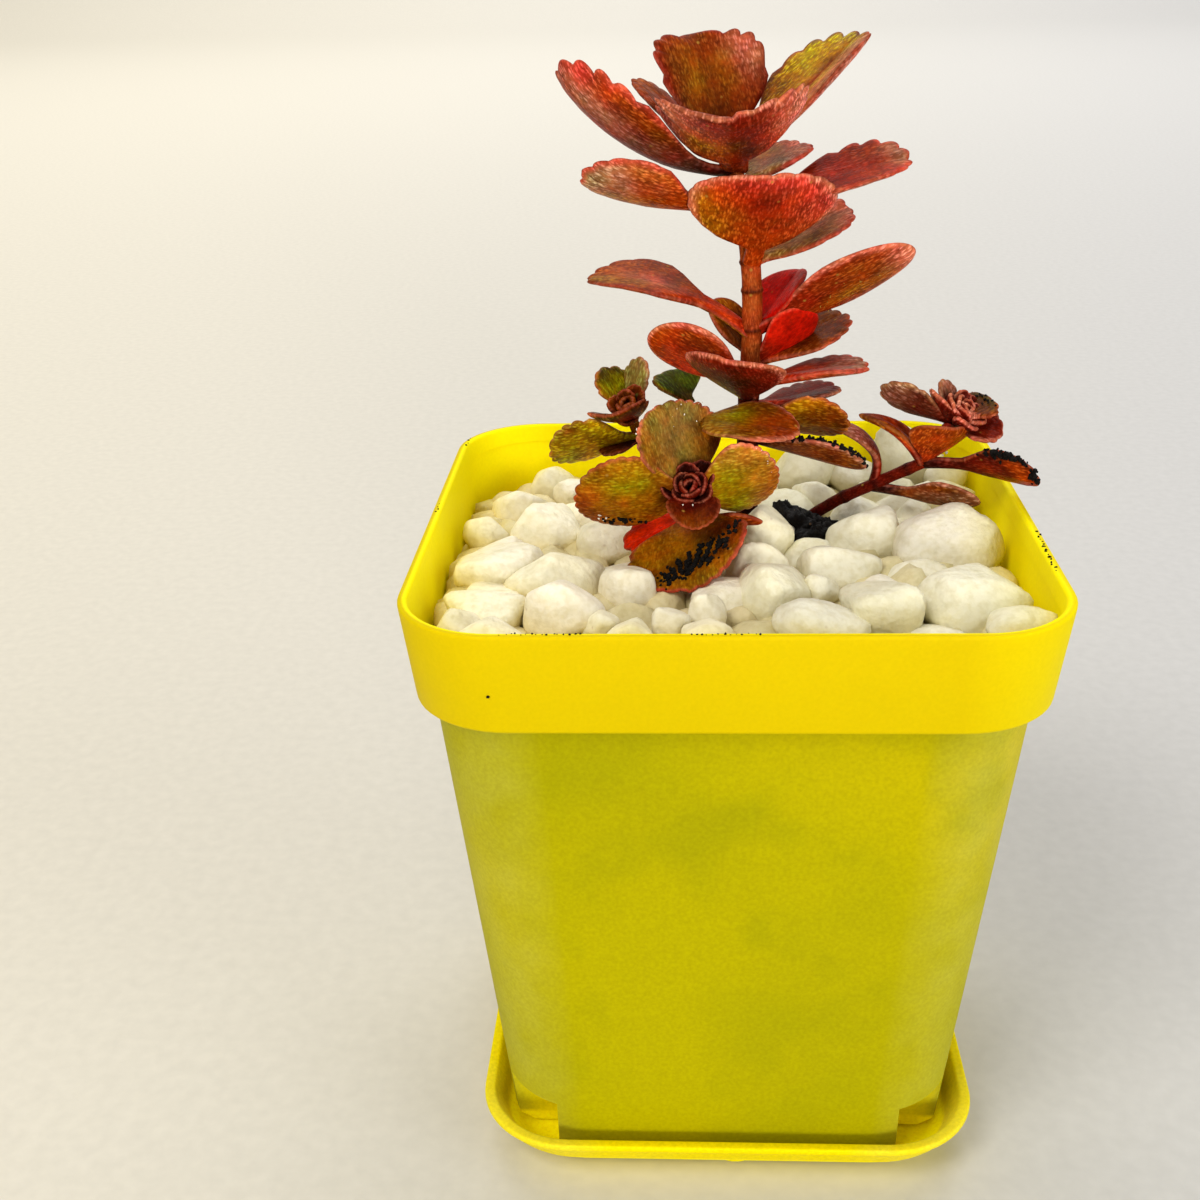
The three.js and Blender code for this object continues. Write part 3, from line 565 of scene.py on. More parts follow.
def kept_inside(points):
    """Points beyond the pot's inner wall brought back to it, so that a stone lies flat against the wall."""
    z = points[:, 2]
    half = np.where(z < LEDGE + 0.5, body_half(z), band_half(z)) - WALL - FIT_GAP
    radius = CORNER_RADIUS - WALL - FIT_GAP
    flat = np.clip(points[:, :2], -half[:, None], half[:, None])
    core = np.clip(flat, -(half - radius)[:, None], (half - radius)[:, None])
    beyond = flat - core
    reach = np.maximum(np.linalg.norm(beyond, axis=1), 1e-9)
    near = core + beyond * np.minimum(1, radius / reach)[:, None]
    return np.column_stack([near, z])


def washed(colour, wash, share):
    """A colour multiplied by a wash, to a share from 0 to 1."""
    return colour * blend(np.ones(3), np.array(wash), share)


def stone(row, seed, around=30, up=18):
    """A tumbled stone with soft flat sides: along a way w it reaches 1 / (sum of max(0, w.n / d)^p)^(1/p).

    The sides' directions n and distances d are drawn; low bumps are added and the whole is stretched,
    leaned and put in place. Its underside is darker, painted shade that is warmer towards the left, and
    painted yellow light reflected from the wall tints what lies beside it."""
    x, y, z, a, b, c, turn = row
    draw = seeded(seed)
    lean_x, lean_y = 0.3 * (next(draw) - 0.5), 0.3 * (next(draw) - 0.5)
    rng = np.random.default_rng(seed)
    made = ball(around, up)
    way = made["points"]
    sides = unit(spread_ways(STONE_SIDES) + rng.normal(0, 0.22, (STONE_SIDES, 3)))
    distance = rng.uniform(0.75, 1.0, STONE_SIDES)
    power = rng.uniform(9, 16)
    reach = 1.06 * (np.maximum(way @ sides.T / distance, 0) ** power).sum(axis=1) ** (-1 / power)
    reach *= 1 + lumps(way, rng, (2.2, 2.6, 3.4, 4.6), 0.05) + lumps(way, rng, (7, 9, 11), 0.012)
    local = way * reach[:, None] * (1.05 * a, 1.05 * b, 1.08 * c)
    points = turned(local, lean_x, lean_y, math.radians(turn)) + (x, y, z)
    shade = linear("cream") * rng.uniform(0.86, 0.99)
    shade = shade * (1, rng.uniform(0.985, 1.005), rng.uniform(0.86, 0.97))
    # Painted light: the stones grow cooler towards the right
    shade = washed(shade, COOL_SIDE_LIGHT, smooth_step(-6, 10, x))
    # Painted shade: the underside darker, warmer towards the left
    underside_shade = smooth_step(-0.5, 0.7, -way[:, 2] + lumps(way, rng, (2, 3, 5), 0.3))
    shade_colour = blend(np.array(WARM_UNDERSIDE_SHADE), np.array(GREY_UNDERSIDE_SHADE), smooth_step(-22, -2, x))
    # Painted light: yellow light reflected from the wall on the stones beside it
    beside_wall = smooth_step(27, 36, np.abs(points[:, :2]).max(axis=1))
    tint = washed(washed(shade, shade_colour, underside_shade), WALL_REFLECTED_LIGHT, beside_wall)
    return shape_of(kept_inside(points), made["faces"], tint=tint)


def clod(row, seed):
    """A clod of soil: a ball with coarse and fine bumps, crumbly all over."""
    x, y, z, radius = row
    rng = np.random.default_rng(seed)
    made = ball(48, 32)
    way = made["points"]
    reach = 1 + lumps(way, rng, (3, 4, 5), 0.25) + lumps(way, rng, (7, 9, 12), 0.2)
    reach += lumps(way, rng, (17, 23, 31), 0.12) + rng.normal(0, 0.03, len(way))
    return shape_of(way * reach[:, None] * radius + (x, y, z), made["faces"])


def crumb(place, size, seed, colour):
    """A crumb: a coarse ball with uneven sides."""
    rng = np.random.default_rng(seed)
    made = ball(7, 5)
    way = made["points"]
    stretch = rng.uniform(0.6, 1.15, 3)
    points = way * (1 + lumps(way, rng, (2, 4, 6), 0.5))[:, None] * stretch * size
    tint = np.tile(linear(colour), (len(way), 1))
    return shape_of(points + np.asarray(place), made["faces"], tint=tint)


# Stems: points of each route from the foot in the soil to the tip, and the radius at foot and tip
STEM_FOOT = 60
ROUTES = {
    "main": [
        (2.7, 4, STEM_FOOT), (2.7, 4, 80), (2.7, 4, 94.4), (3, 4, 103.3), (2.7, 4, 111.2), (1.6, 4, 118),
        (0.3, 4, 123.4),
    ],
    "front": [(-2.5, 1, STEM_FOOT), (-2.8, 0.5, 77), (-3.6, -2.5, 82), (-4.5, -6, 85.8)],
    "low": [(-2.5, 1, 75), (-2.5, -0.5, 84), (-2.8, -1.3, 93.2)],
    "left": [(-8, 6, STEM_FOOT), (-8, 6, 77), (-9.5, 7, 84), (-12.4, 8, 92)],
    "leftBack": [(-8, 6, 75.5), (-7, 8, 80), (-4.6, 12, 91.8)],
    "right": [
        (10.5, 15.5, STEM_FOOT), (10.8, 15, 73), (14.4, 12.9, 77.2), (19.4, 10.3, 80.8), (25.5, 7.8, 84.7),
    ],
    "rightTip": [(25.5, 7.8, 84.7), (27.2, 7.5, 88), (29.1, 7.3, 90.6)],
}
RADII = {
    "main": (1.46, 1.08), "front": (0.8, 0.8), "low": (0.7, 0.6), "left": (0.75, 0.7),
    "leftBack": (0.6, 0.5), "right": (0.85, 0.75), "rightTip": (0.8, 0.75),
}
ROUTE_STEPS = 60
STEM_SIDES = 20
RING_SPREAD = 0.28
# The bark pattern's turn round the stem and its length along it
BARK_ROUND = 6.28
BARK_LENGTH = 10
# Bark colours of each stem, from foot to tip
BARK = {
    "main": ("soot", "soot", "wine", "bark", "bark", "rust", "copper"),
    "front": ("soot", "wine", "garnet", "garnet"),
    "low": ("wine", "rust", "olive"),
    "left": ("soot", "wine", "rust", "olive"),
    "leftBack": ("wine", "rust", "leaf"),
    "right": ("soot", "soot", "wine", "wine", "garnet"),
    "rightTip": ("garnet", "garnet", "rose"),
}
# Heights of the dark rings that old leaf pairs left on the stems
RINGS = {"main": (86.5, 92.8, 98.6, 103.4, 108.2, 111.7, 115.2, 118.8), "right": (78.6, 81.2, 83.6)}


def route_points(route):
    """Even steps along a centripetal Catmull-Rom curve through the route's points.

    Between two points the curve is the cubic whose end slopes come from the neighbours, spaced by the
    square root of the distances; beyond the ends the neighbours are mirrored."""
    knots = np.array(ROUTES[route], float)
    knots = np.concatenate([[2 * knots[0] - knots[1]], knots, [2 * knots[-1] - knots[-2]]])
    gaps = np.sqrt(np.linalg.norm(np.diff(knots, axis=0), axis=1))
    t = np.linspace(0, 1, ROUTE_STEPS, endpoint=False)[:, None]
    made = []
    for k in range(1, len(knots) - 2):
        before, a, b, after = knots[k - 1 : k + 3]
        d0, d1, d2 = gaps[k - 1 : k + 2]
        slope_a = ((a - before) / d0 - (b - before) / (d0 + d1) + (b - a) / d1) * d1
        slope_b = ((b - a) / d1 - (after - a) / (d1 + d2) + (after - b) / d2) * d1
        square, cube = -3 * a + 3 * b - 2 * slope_a - slope_b, 2 * a - 2 * b + slope_a + slope_b
        made.append(a + slope_a * t + square * t**2 + cube * t**3)
    return np.concatenate([*made, knots[-2][None]])


def on_route(route, height):
    """The point of a route at a height."""
    points = route_points(route)
    return np.array([np.interp(height, points[:, 2], points[:, k]) for k in range(3)])


def stem(route):
    """A stem: a ring of radius r(s) carried along the route, swollen at its rings, ridged and uneven."""
    points = route_points(route)
    share = np.linspace(0, 1, len(points))
    rng = np.random.default_rng(number_of(route))
    tangent = unit(np.gradient(points, axis=0))
    side = unit(np.cross(tangent, (1, 0, 0)))
    over = np.cross(side, tangent)
    turn = np.arange(STEM_SIDES) * 2 * math.pi / STEM_SIDES
    ring = np.zeros(len(points))
    for height in RINGS.get(route, ()):
        ring = np.maximum(ring, np.exp(-(((points[:, 2] - height) / RING_SPREAD) ** 2)))
    radius = np.interp(share, [0, 1], RADII[route])[:, None] * (1 + 0.13 * ring[:, None])
    ridges = np.cos(3 * turn + rng.uniform(0, 6)) * 0.025 + np.cos(7 * turn + rng.uniform(0, 6)) * 0.012
    sway = np.cos(share * 70)[:, None] * np.cos(2 * turn + share[:, None] * 9) * 0.018
    radius = radius * (1 + ridges + sway)
    shell = points[:, None] + side[:, None] * (radius * np.cos(turn))[..., None]
    shell = shell + over[:, None] * (radius * np.sin(turn))[..., None]
    colours = np.array([linear(name) for name in BARK[route]])
    spots = np.linspace(0, 1, len(colours))
    tint = np.stack([np.interp(share, spots, colours[:, k]) for k in range(3)], axis=-1)
    tint = blend(tint, linear("soot"), 0.75 * ring)
    grain = np.stack(np.broadcast_arrays(turn / BARK_ROUND, share[:, None] * BARK_LENGTH), axis=-1)
    return tube(
        shell,
        tint=np.repeat(tint, STEM_SIDES, axis=0),
        grain=grain.reshape(-1, 2),
        frost=np.full(radius.size, 0.4),
    )


# Outlines in shares of the leaf's length and half width: where it is widest, how wide its foot is, where
# the stalk ends, how slowly the blade swells from there, its margin's scallops and their depth, and how
# round its tip is
OUTLINES = {
    "spoon": (0.64, 0.16, 0.15, 1.35, 8, 0.09, 0.9),
    "fan": (0.68, 0.16, 0.15, 1.35, 7, 0.08, 0.55),
    "bowl": (0.6, 0.17, 0.2, 0.7, 9, 0.12, 0.9),
    "ladle": (0.58, 0.13, 0.26, 0.6, 10, 0.022, 1),
    "paddle": (0.55, 0.18, 0.18, 0.7, 0, 0, 1),
    "round": (0.58, 0.27, 0.06, 1.35, 13, 0.045, 1),
    "oval": (0.5, 0.35, 0.02, 0.7, 9, 0.04, 1),
    "plain": (0.62, 0.18, 0.15, 1.35, 0, 0, 1),
    "stalked": (0.64, 0.24, 0.34, 1.35, 7, 0.05, 1),
    "narrow": (0.64, 0.3, 0.35, 1.35, 0, 0, 1),
    "horn": (0.4, 0.5, 0.1, 1, 0, 0, 1.5),
    "frill": (0.62, 0.25, 0.15, 1.35, 5, 0.1, 1),
}

# Each row: height on the stem, towards, rise, roll, length, width, cup, arch, outline, and the colours of
# the upper face at foot, middle and tip, of the underside at foot, middle and tip, and of the margin.
# Patches may follow: side, colour, and in shares of the leaf its place along and across and how far it
# spreads along and across
LEAVES = {
    "main": [
        (122.2, -162, 6, -20, 25, 14, 60, 55, "spoon", "wine garnet ember soot garnet ember rose",
         ("under", "blush", 0.75, -0.85, 0.4, 0.34), ("under", "ember", 0.7, 0.75, 0.35, 0.3),
         ("under", "mauve", 0.8, 0.2, 0.4, 0.22),
         ("under", "rose", 0.95, 0.6, 0.14, 0.5), ("under", "umber", 0.45, 0.6, 0.16, 0.2)),
        (123, 120, 60, 0, 16.5, 15.5, 40, 0, "fan", "wine umber rust garnet rust rose garnet",
         ("top", "wine", 0.35, 0.12, 0.35, 0.2), ("top", "blush", 0.84, -0.78, 0.2, 0.36),
         ("top", "amber", 0.62, 0.3, 0.2, 0.22), ("top", "amber", 0.66, -0.25, 0.2, 0.2),
         ("top", "garnet", 0.5, 0.95, 0.4, 0.2), ("top", "ember", 0.3, -0.6, 0.3, 0.4)),
        (122.9, 154, 34, -5, 16, 9, 15, 5, "spoon", "ember ember copper garnet ember rust rust"),
        (122.9, 28, 36, 0, 22.5, 13.5, 65, 5, "spoon", "amber lime lime copper blush blush garnet",
         ("top", "olive", 0.5, 0.6, 0.2, 0.3), ("top", "amber", 0.4, 0.3, 0.2, 0.3),
         ("top", "blush", 0.68, -0.65, 0.5, 0.5), ("top", "ember", 0.55, 0, 0.5, 0.12)),
        (122.3, -92, 35, -5, 15, 20.5, 98, -8, "bowl", "wine garnet ember ember flame garnet blush",
         ("under", "blush", 0.65, 0.9, 0.55, 0.42), ("under", "blush", 0.7, -0.9, 0.5, 0.42),
         ("under", "garnet", 0.8, 0.05, 0.2, 0.35), ("under", "soot", 0.45, 0.1, 0.3, 0.2),
         ("under", "olive", 0.45, -0.35, 0.15, 0.25)),
        (117.6, -156, 10, -30, 20.8, 11, 40, 15, "stalked", "rust rust copper rust ember mauve rose",
         ("under", "olive", 0.7, -0.4, 0.3, 0.3), ("under", "ash", 0.95, -0.2, 0.16, 0.5),
         ("under", "copper", 0.6, 0.7, 0.3, 0.25)),
        (110.9, -78, 50, 4, 16, 18.5, 52, 2, "ladle", "garnet ember rose ember ember flame blush",
         ("under", "rose", 0.75, 0.8, 0.3, 0.42), ("under", "olive", 0.45, -0.8, 0.3, 0.35),
         ("under", "rose", 0.95, 0.1, 0.12, 0.8), ("under", "garnet", 0.72, -0.05, 0.25, 0.3)),
        (117.8, 2, 14, -15, 20.5, 12, 50, 5, "spoon", "wine garnet ember mauve blush mauve rose",
         ("top", "rose", 0.5, 0.2, 0.25, 0.2), ("top", "mauve", 0.98, 0, 0.12, 0.8),
         ("top", "flame", 0.6, -0.4, 0.3, 0.4), ("under", "rust", 0.4, -0.4, 0.25, 0.4)),
        (120.6, 46, 15, 0, 12.3, 8, 30, 5, "spoon", "straw ash blush copper blush blush rose",
         ("top", "olive", 0.6, 0.4, 0.3, 0.3)),
        (111.5, 20, 18, -15, 14, 11, 50, 15, "spoon", "straw ash blush copper blush blush rose",
         ("top", "olive", 0.55, -0.5, 0.25, 0.3), ("under", "olive", 0.6, -0.6, 0.3, 0.3)),
        # The blush patch in the middle of this leaf's upper face is a painted highlight
        (102.6, 176, 42, 15, 22.3, 10, 35, -50, "stalked", "flame rust copper olive rust olive garnet",
         ("top", "flame", 0.3, 0.5, 0.3, 0.35), ("top", "blush", 0.65, 0.1, 0.16, 0.3),
         ("top", "olive", 0.9, 0.5, 0.2, 0.4)),
        (102.8, -10, 32, 40, 22, 10, 10, -5, "plain", "wine garnet copper garnet garnet rust blush",
         ("under", "blush", 0.97, -0.2, 0.1, 0.9), ("under", "amber", 0.6, 0.3, 0.2, 0.3),
         ("under", "rust", 0.7, -0.5, 0.25, 0.3)),
        (102.4, 30, 46, 10, 10.4, 11, 50, 0, "plain",
         "scarlet scarlet scarlet scarlet scarlet scarlet scarlet"),
        (99.3, 4, 34, 45, 10, 9.5, 15, 5, "plain", "scarlet scarlet scarlet garnet crimson crimson scarlet"),
        (98.9, 28, 12, -10, 14.5, 9.5, 40, 15, "spoon", "flame umber umber umber rust umber rust"),
        (99.9, 148, 46, 5, 8.5, 7, 45, 10, "plain", "soot umber amber wine rust amber rust"),
        (96.5, 176, 32, -48, 14, 10.7, 11, -11, "paddle", "flame ember ember flame flame ember blush",
         ("under", "rust", 0.6, 0.6, 0.3, 0.3)),
        # This leaf's underside is near black: partly its own dark red, partly painted shade
        (94.6, -108, 30, 5, 14, 13, 45, 10, "plain", "garnet ember rose soot wine garnet blush",
         ("under", "soot", 0.6, 0, 0.3, 0.5)),
        (96.3, -2, 14, 0, 15, 8.5, 40, -10, "spoon", "flame flame mauve garnet ember mauve rose"),
        (93.6, 22, -2, 5, 12.5, 9.5, 25, 15, "spoon", "flame garnet garnet soot wine garnet mauve"),
        (91.6, 8, 10, 45, 13, 10, 15, -35, "spoon", "umber olive amber moss olive umber amber",
         ("under", "umber", 0.6, -0.2, 0.16, 0.25)),
        (89.5, -18, -6, 35, 15.5, 8, 20, -5, "plain", "soot umber rust soot umber umber mauve"),
    ],
    "front": [
        (85.5, -166, -2, -60, 14.5, 13.5, 30, 15, "round", "umber olive olive umber olive umber copper",
         ("under", "amber", 0.85, 0.3, 0.2, 0.4), ("under", "umber", 0.3, 0.3, 0.25, 0.3),
         ("under", "leaf", 0.6, 0.4, 0.25, 0.3)),
        # The sage patches on this leaf's upper face are painted highlights
        (85.7, 134, 60, 0, 11.5, 14.6, 30, 15, "round", "umber olive straw rust olive olive blush",
         ("top", "sage", 0.6, 0.1, 0.4, 0.5), ("top", "umber", 0.45, -0.8, 0.3, 0.25),
         ("top", "sage", 0.85, -0.3, 0.15, 0.3)),
        (85.6, 8, 12, 60, 11, 13, 20, -5, "round", "umber olive olive olive leaf straw blush",
         ("under", "straw", 0.55, -0.75, 0.3, 0.3), ("under", "amber", 0.85, 0.2, 0.18, 0.5)),
        (85.6, -88, 0, 0, 8, 7, 60, -25, "round", "soot wine umber wine umber rust rust"),
        (82.1, -162, -19, 10, 10.4, 7, 5, -5, "frill", "flame fire fire flame fire fire flame"),
        (82.2, -96, -15, -20, 15.5, 16.2, 40, -5, "round", "rust olive olive ember rust copper rose",
         ("top", "garnet", 0.45, 0.8, 0.3, 0.3), ("top", "loam", 0.72, 0.1, 0.07, 0.45)),
        (81.5, -24, 2, 40, 8.5, 3, 0, 0, "narrow", "garnet rust rust garnet rust rust rust"),
    ],
    "low": [
        (93, -14, 5, -11, 11.8, 9.8, 32, -15, "oval", "straw olive ember leaf olive ember blush",
         ("top", "leaf", 0.35, 0.3, 0.25, 0.4), ("top", "ember", 0.72, 0, 0.25, 0.7)),
    ],
    "left": [
        (92, 148, 48, 0, 6.5, 8, 20, 10, "frill", "olive leaf moss olive olive rust olive"),
        (92, 46, 62, 15, 7, 6.5, 15, 15, "frill", "moss sage sage moss sage sage ash"),
        (91.2, -106, 6, -15, 7.2, 9, 70, 25, "frill", "soot soot umber wine umber moss rust",
         ("under", "garnet", 0.6, 0.3, 0.3, 0.3)),
        (88.6, -168, 0, -55, 12, 9.5, 15, -10, "spoon", "leaf leaf leaf leaf lime leaf leaf",
         ("under", "moss", 0.9, 0.7, 0.2, 0.3), ("under", "umber", 0.8, 0.75, 0.14, 0.25)),
        (88.4, -172, -16, 10, 5.6, 7.4, 35, 5, "frill", "soot soot umber soot umber umber umber"),
    ],
    "leftBack": [
        (91.6, 140, 52, -5, 5.5, 10, 30, -20, "frill", "moss fern fern moss fern fern leaf"),
    ],
    "right": [
        (80.8, -10, 68, -15, 12, 5, 25, 110, "narrow", "wine wine plum garnet wine mauve mauve"),
        (80.6, -16, -4, 50, 14.5, 5.5, 40, 0, "narrow", "wine umber umber soot umber umber mauve",
         ("under", "mauve", 0.75, -0.2, 0.25, 0.3)),
        (84.6, -58, 50, 12, 8.8, 9.2, 60, -8, "plain", "wine garnet ember wine ember rust rust",
         ("under", "ember", 0.6, -0.5, 0.3, 0.3)),
        (84.6, -19, 9, 45, 15.5, 8.4, 30, -25, "stalked", "wine garnet umber soot wine ember rust",
         ("under", "loam", 0.75, -0.85, 0.25, 0.22), ("under", "loam", 1, -0.3, 0.05, 0.5)),
        (84.6, 174, 66, 8, 10.8, 4.2, 60, -60, "horn", "garnet ember ember wine flame olive amber"),
    ],
    "rightTip": [
        (90.4, 180, 22, -40, 10.5, 7, 20, 10, "frill", "soot plum mauve wine plum mauve ash",
         ("under", "plum", 0.5, 0.2, 0.3, 0.3)),
        (90.2, -76, 32, 25, 3.5, 11, 100, 5, "frill", "soot wine wine soot wine wine blush"),
        (90.5, 124, 64, -10, 5.5, 3.5, 30, -5, "frill", "wine plum mauve wine plum mauve ash"),
        (90.5, 20, 22, 0, 5.5, 9, 5, 10, "frill", "wine umber moss wine umber moss copper"),
        (90.2, -20, -6, -20, 6.5, 7, 45, -10, "frill", "wine wine garnet wine wine garnet blush"),
    ],
}

# Unopened leaflets that spiral in round a stem's tip: axis, number, length, how far the outer ones lean,
# colours
BUDS = {
    "main": ((-0.1, -0.1, 1), 4, 5, 50, "wine ember rust wine ember rose rose"),
    "front": ((-0.1, -0.75, 0.65), 13, 5, 70, "soot soot soot soot soot wine wine"),
    "left": ((-0.1, -0.75, 0.65), 9, 4.3, 62, "soot wine umber soot wine umber rust"),
    "rightTip": ((0.55, -0.35, 0.75), 13, 4.8, 68, "soot wine wine soot wine wine blush"),
}
FOOT_STEPS = 9
LEAF_ROWS = 8
SMALL_LEAF = 7
SMALL_LEAF_ROWS = 5
MANY_SCALLOPS = 10
# Painted light and shade on the leaves: upper faces darkened and undersides lightened, as shares of their
# colour
TOP_PAINTED_SHADE = 0.84
UNDER_PAINTED_LIGHT = 1.14


def number_of(name):
    """A seed that follows from a name."""
    return sum(map(ord, name))


def leaf_axes(towards, rise, roll):
    """A leaf's length and upper-face directions: towards and rise in degrees, then rolled."""
    a, e, r = np.radians([towards, rise, roll])
    along = np.array([np.cos(e) * np.cos(a), np.cos(e) * np.sin(a), np.sin(e)])
    level = np.array([-np.sin(e) * np.cos(a), -np.sin(e) * np.sin(a), np.cos(e)])
    return along, level * np.cos(r) - np.cross(along, level) * np.sin(r)


def margin_of(outline, tip_steps, rng):
    """The margin from the left of the foot round the tip to its right, as x, y and x without scallops.

    The side follows foot + (1 - foot) sin(share pi/2)^swell up to the widest place, and the tip is a half
    round, squarer where the powers of its sine and cosine are below 1, which falls in by depth (1 -
    |sin(scallops turn)|^0.7) between the teeth."""
    widest, foot, neck, swell, scallops, depth, roundness = outline
    x = widest * np.arange(FOOT_STEPS) / FOOT_STEPS
    share = np.clip((x - neck) / (widest - neck), 0, 1)
    side = np.stack([x, foot + (1 - foot) * np.sin(share * math.pi / 2) ** swell, x], axis=-1)
    part = np.arange(tip_steps + 1) / tip_steps
    turn = math.pi * (part - 0.5)
    uneven = part + 0.02 * np.sin(2 * math.pi * part * 1.5 + rng.uniform(0, 6)) * np.sin(math.pi * part)
    teeth = np.abs(np.sin(uneven * scallops * math.pi)) ** 0.7 - 1
    deeper = 1 + 0.35 * np.sin(part * 9 + rng.uniform(0, 6))
    shrink = 1 + depth * teeth * deeper
    tip_x = widest + (1 - widest) * np.abs(np.cos(turn)) ** roundness
    tip_y = -np.sign(turn) * np.abs(np.sin(turn)) ** roundness
    core = 0.85 * widest
    tip = np.stack([core + (tip_x - core) * shrink, tip_y * shrink, tip_x], axis=-1)
    return np.concatenate([side, tip, (side * (1, -1, 1))[::-1]])


def bent(x, y, length, width, cup, arch):
    """Where points of the flat leaf go when its sides cup up and its length arches; both bends keep
    lengths.

    Across, the surface leans by (cup/2)(y / half width)^0.7, summed in small steps; along, it follows a
    circle."""
    steps = 12
    reach = np.abs(y)[..., None] / steps
    lean = np.radians(cup / 2) * ((np.arange(steps) + 0.5) * reach / (width / 2)) ** 0.7
    fade = np.clip(x / (0.35 * length), 0, 1)
    across = (np.cos(lean) * reach).sum(axis=-1)
    side = np.sign(y) * (np.abs(y) * (1 - fade) + across * fade)
    rise = (np.sin(lean) * reach).sum(axis=-1) * fade
    bend = math.radians(0.1 if abs(arch) < 0.1 else arch) / length
    turn = bend * x
    along = np.sin(turn) / bend - rise * np.sin(turn)
    return np.stack([along, side, (1 - np.cos(turn)) / bend + rise * np.cos(turn)], axis=-1)


def surface_normals(points, quads):
    """Each point's mean face direction."""
    a, b, c, d = (points[quads[:, k]] for k in range(4))
    face = np.cross(c - a, d - b)
    total = np.zeros_like(points)
    for k in range(4):
        np.add.at(total, quads[:, k], face)
    return unit(total)


def leaf_index(last, rows):
    """Point numbers from the midrib, which both sides share, out to each point of the margin."""
    i = np.arange(last + 1)
    index = np.empty((last + 1, rows + 1), int)
    index[:, 0] = np.minimum(i, last - i)
    index[:, 1:] = last // 2 + 1 + np.arange(rows) * (last + 1) + i[:, None]
    return index


def by_point(index, values):
    """The values of a grid of point numbers, as one row for each point."""
    made = np.zeros((index.max() + 1, *values.shape[index.ndim:]))
    made[index] = values
    return made


def leaf_faces(index, below):
    """Both faces of a leaf and its open ends at the foot, where each last quad closes to a triangle."""
    quads = grid_quads(index)
    faces = [quads, below[quads][:, ::-1]]
    for ring, order in ((index[0], 1), (index[-1], -1)):
        wall = np.stack([ring[:-1], ring[1:], below[ring[1:]], below[ring[:-1]]], axis=-1)[:, ::order]
        corners = sorted(np.unique(wall[-1], return_index=True)[1])
        faces += [wall[:-1], wall[-1][corners][None]]
    return faces


def leaf_paint(side, x, y, rim, edge, cloud, colours, patches):
    """The tint of one face: from foot to tip, then its patches, the margin and a pale edge.

    The pale edge is partly pale skin and partly a painted highlight where the edge catches the light.
    """
    foot, middle, tip = colours[:3] if side == "top" else colours[3:6]
    paint = blend(foot, middle, smooth_step(0.08, 0.45, x + 0.15 * cloud))
    paint = blend(paint, tip, smooth_step(0.5, 0.95, x + 0.15 * cloud))
    for patch_side, colour, x_middle, y_middle, x_spread, y_spread in patches:
        if patch_side == side:
            away = ((x - x_middle) / x_spread) ** 2 + ((y - y_middle) / y_spread) ** 2
            paint = blend(paint, linear(colour), 0.92 * np.exp(-(away * (1 + 0.5 * cloud))))
    return blend(blend(paint, colours[6], rim), linear("blush"), edge)


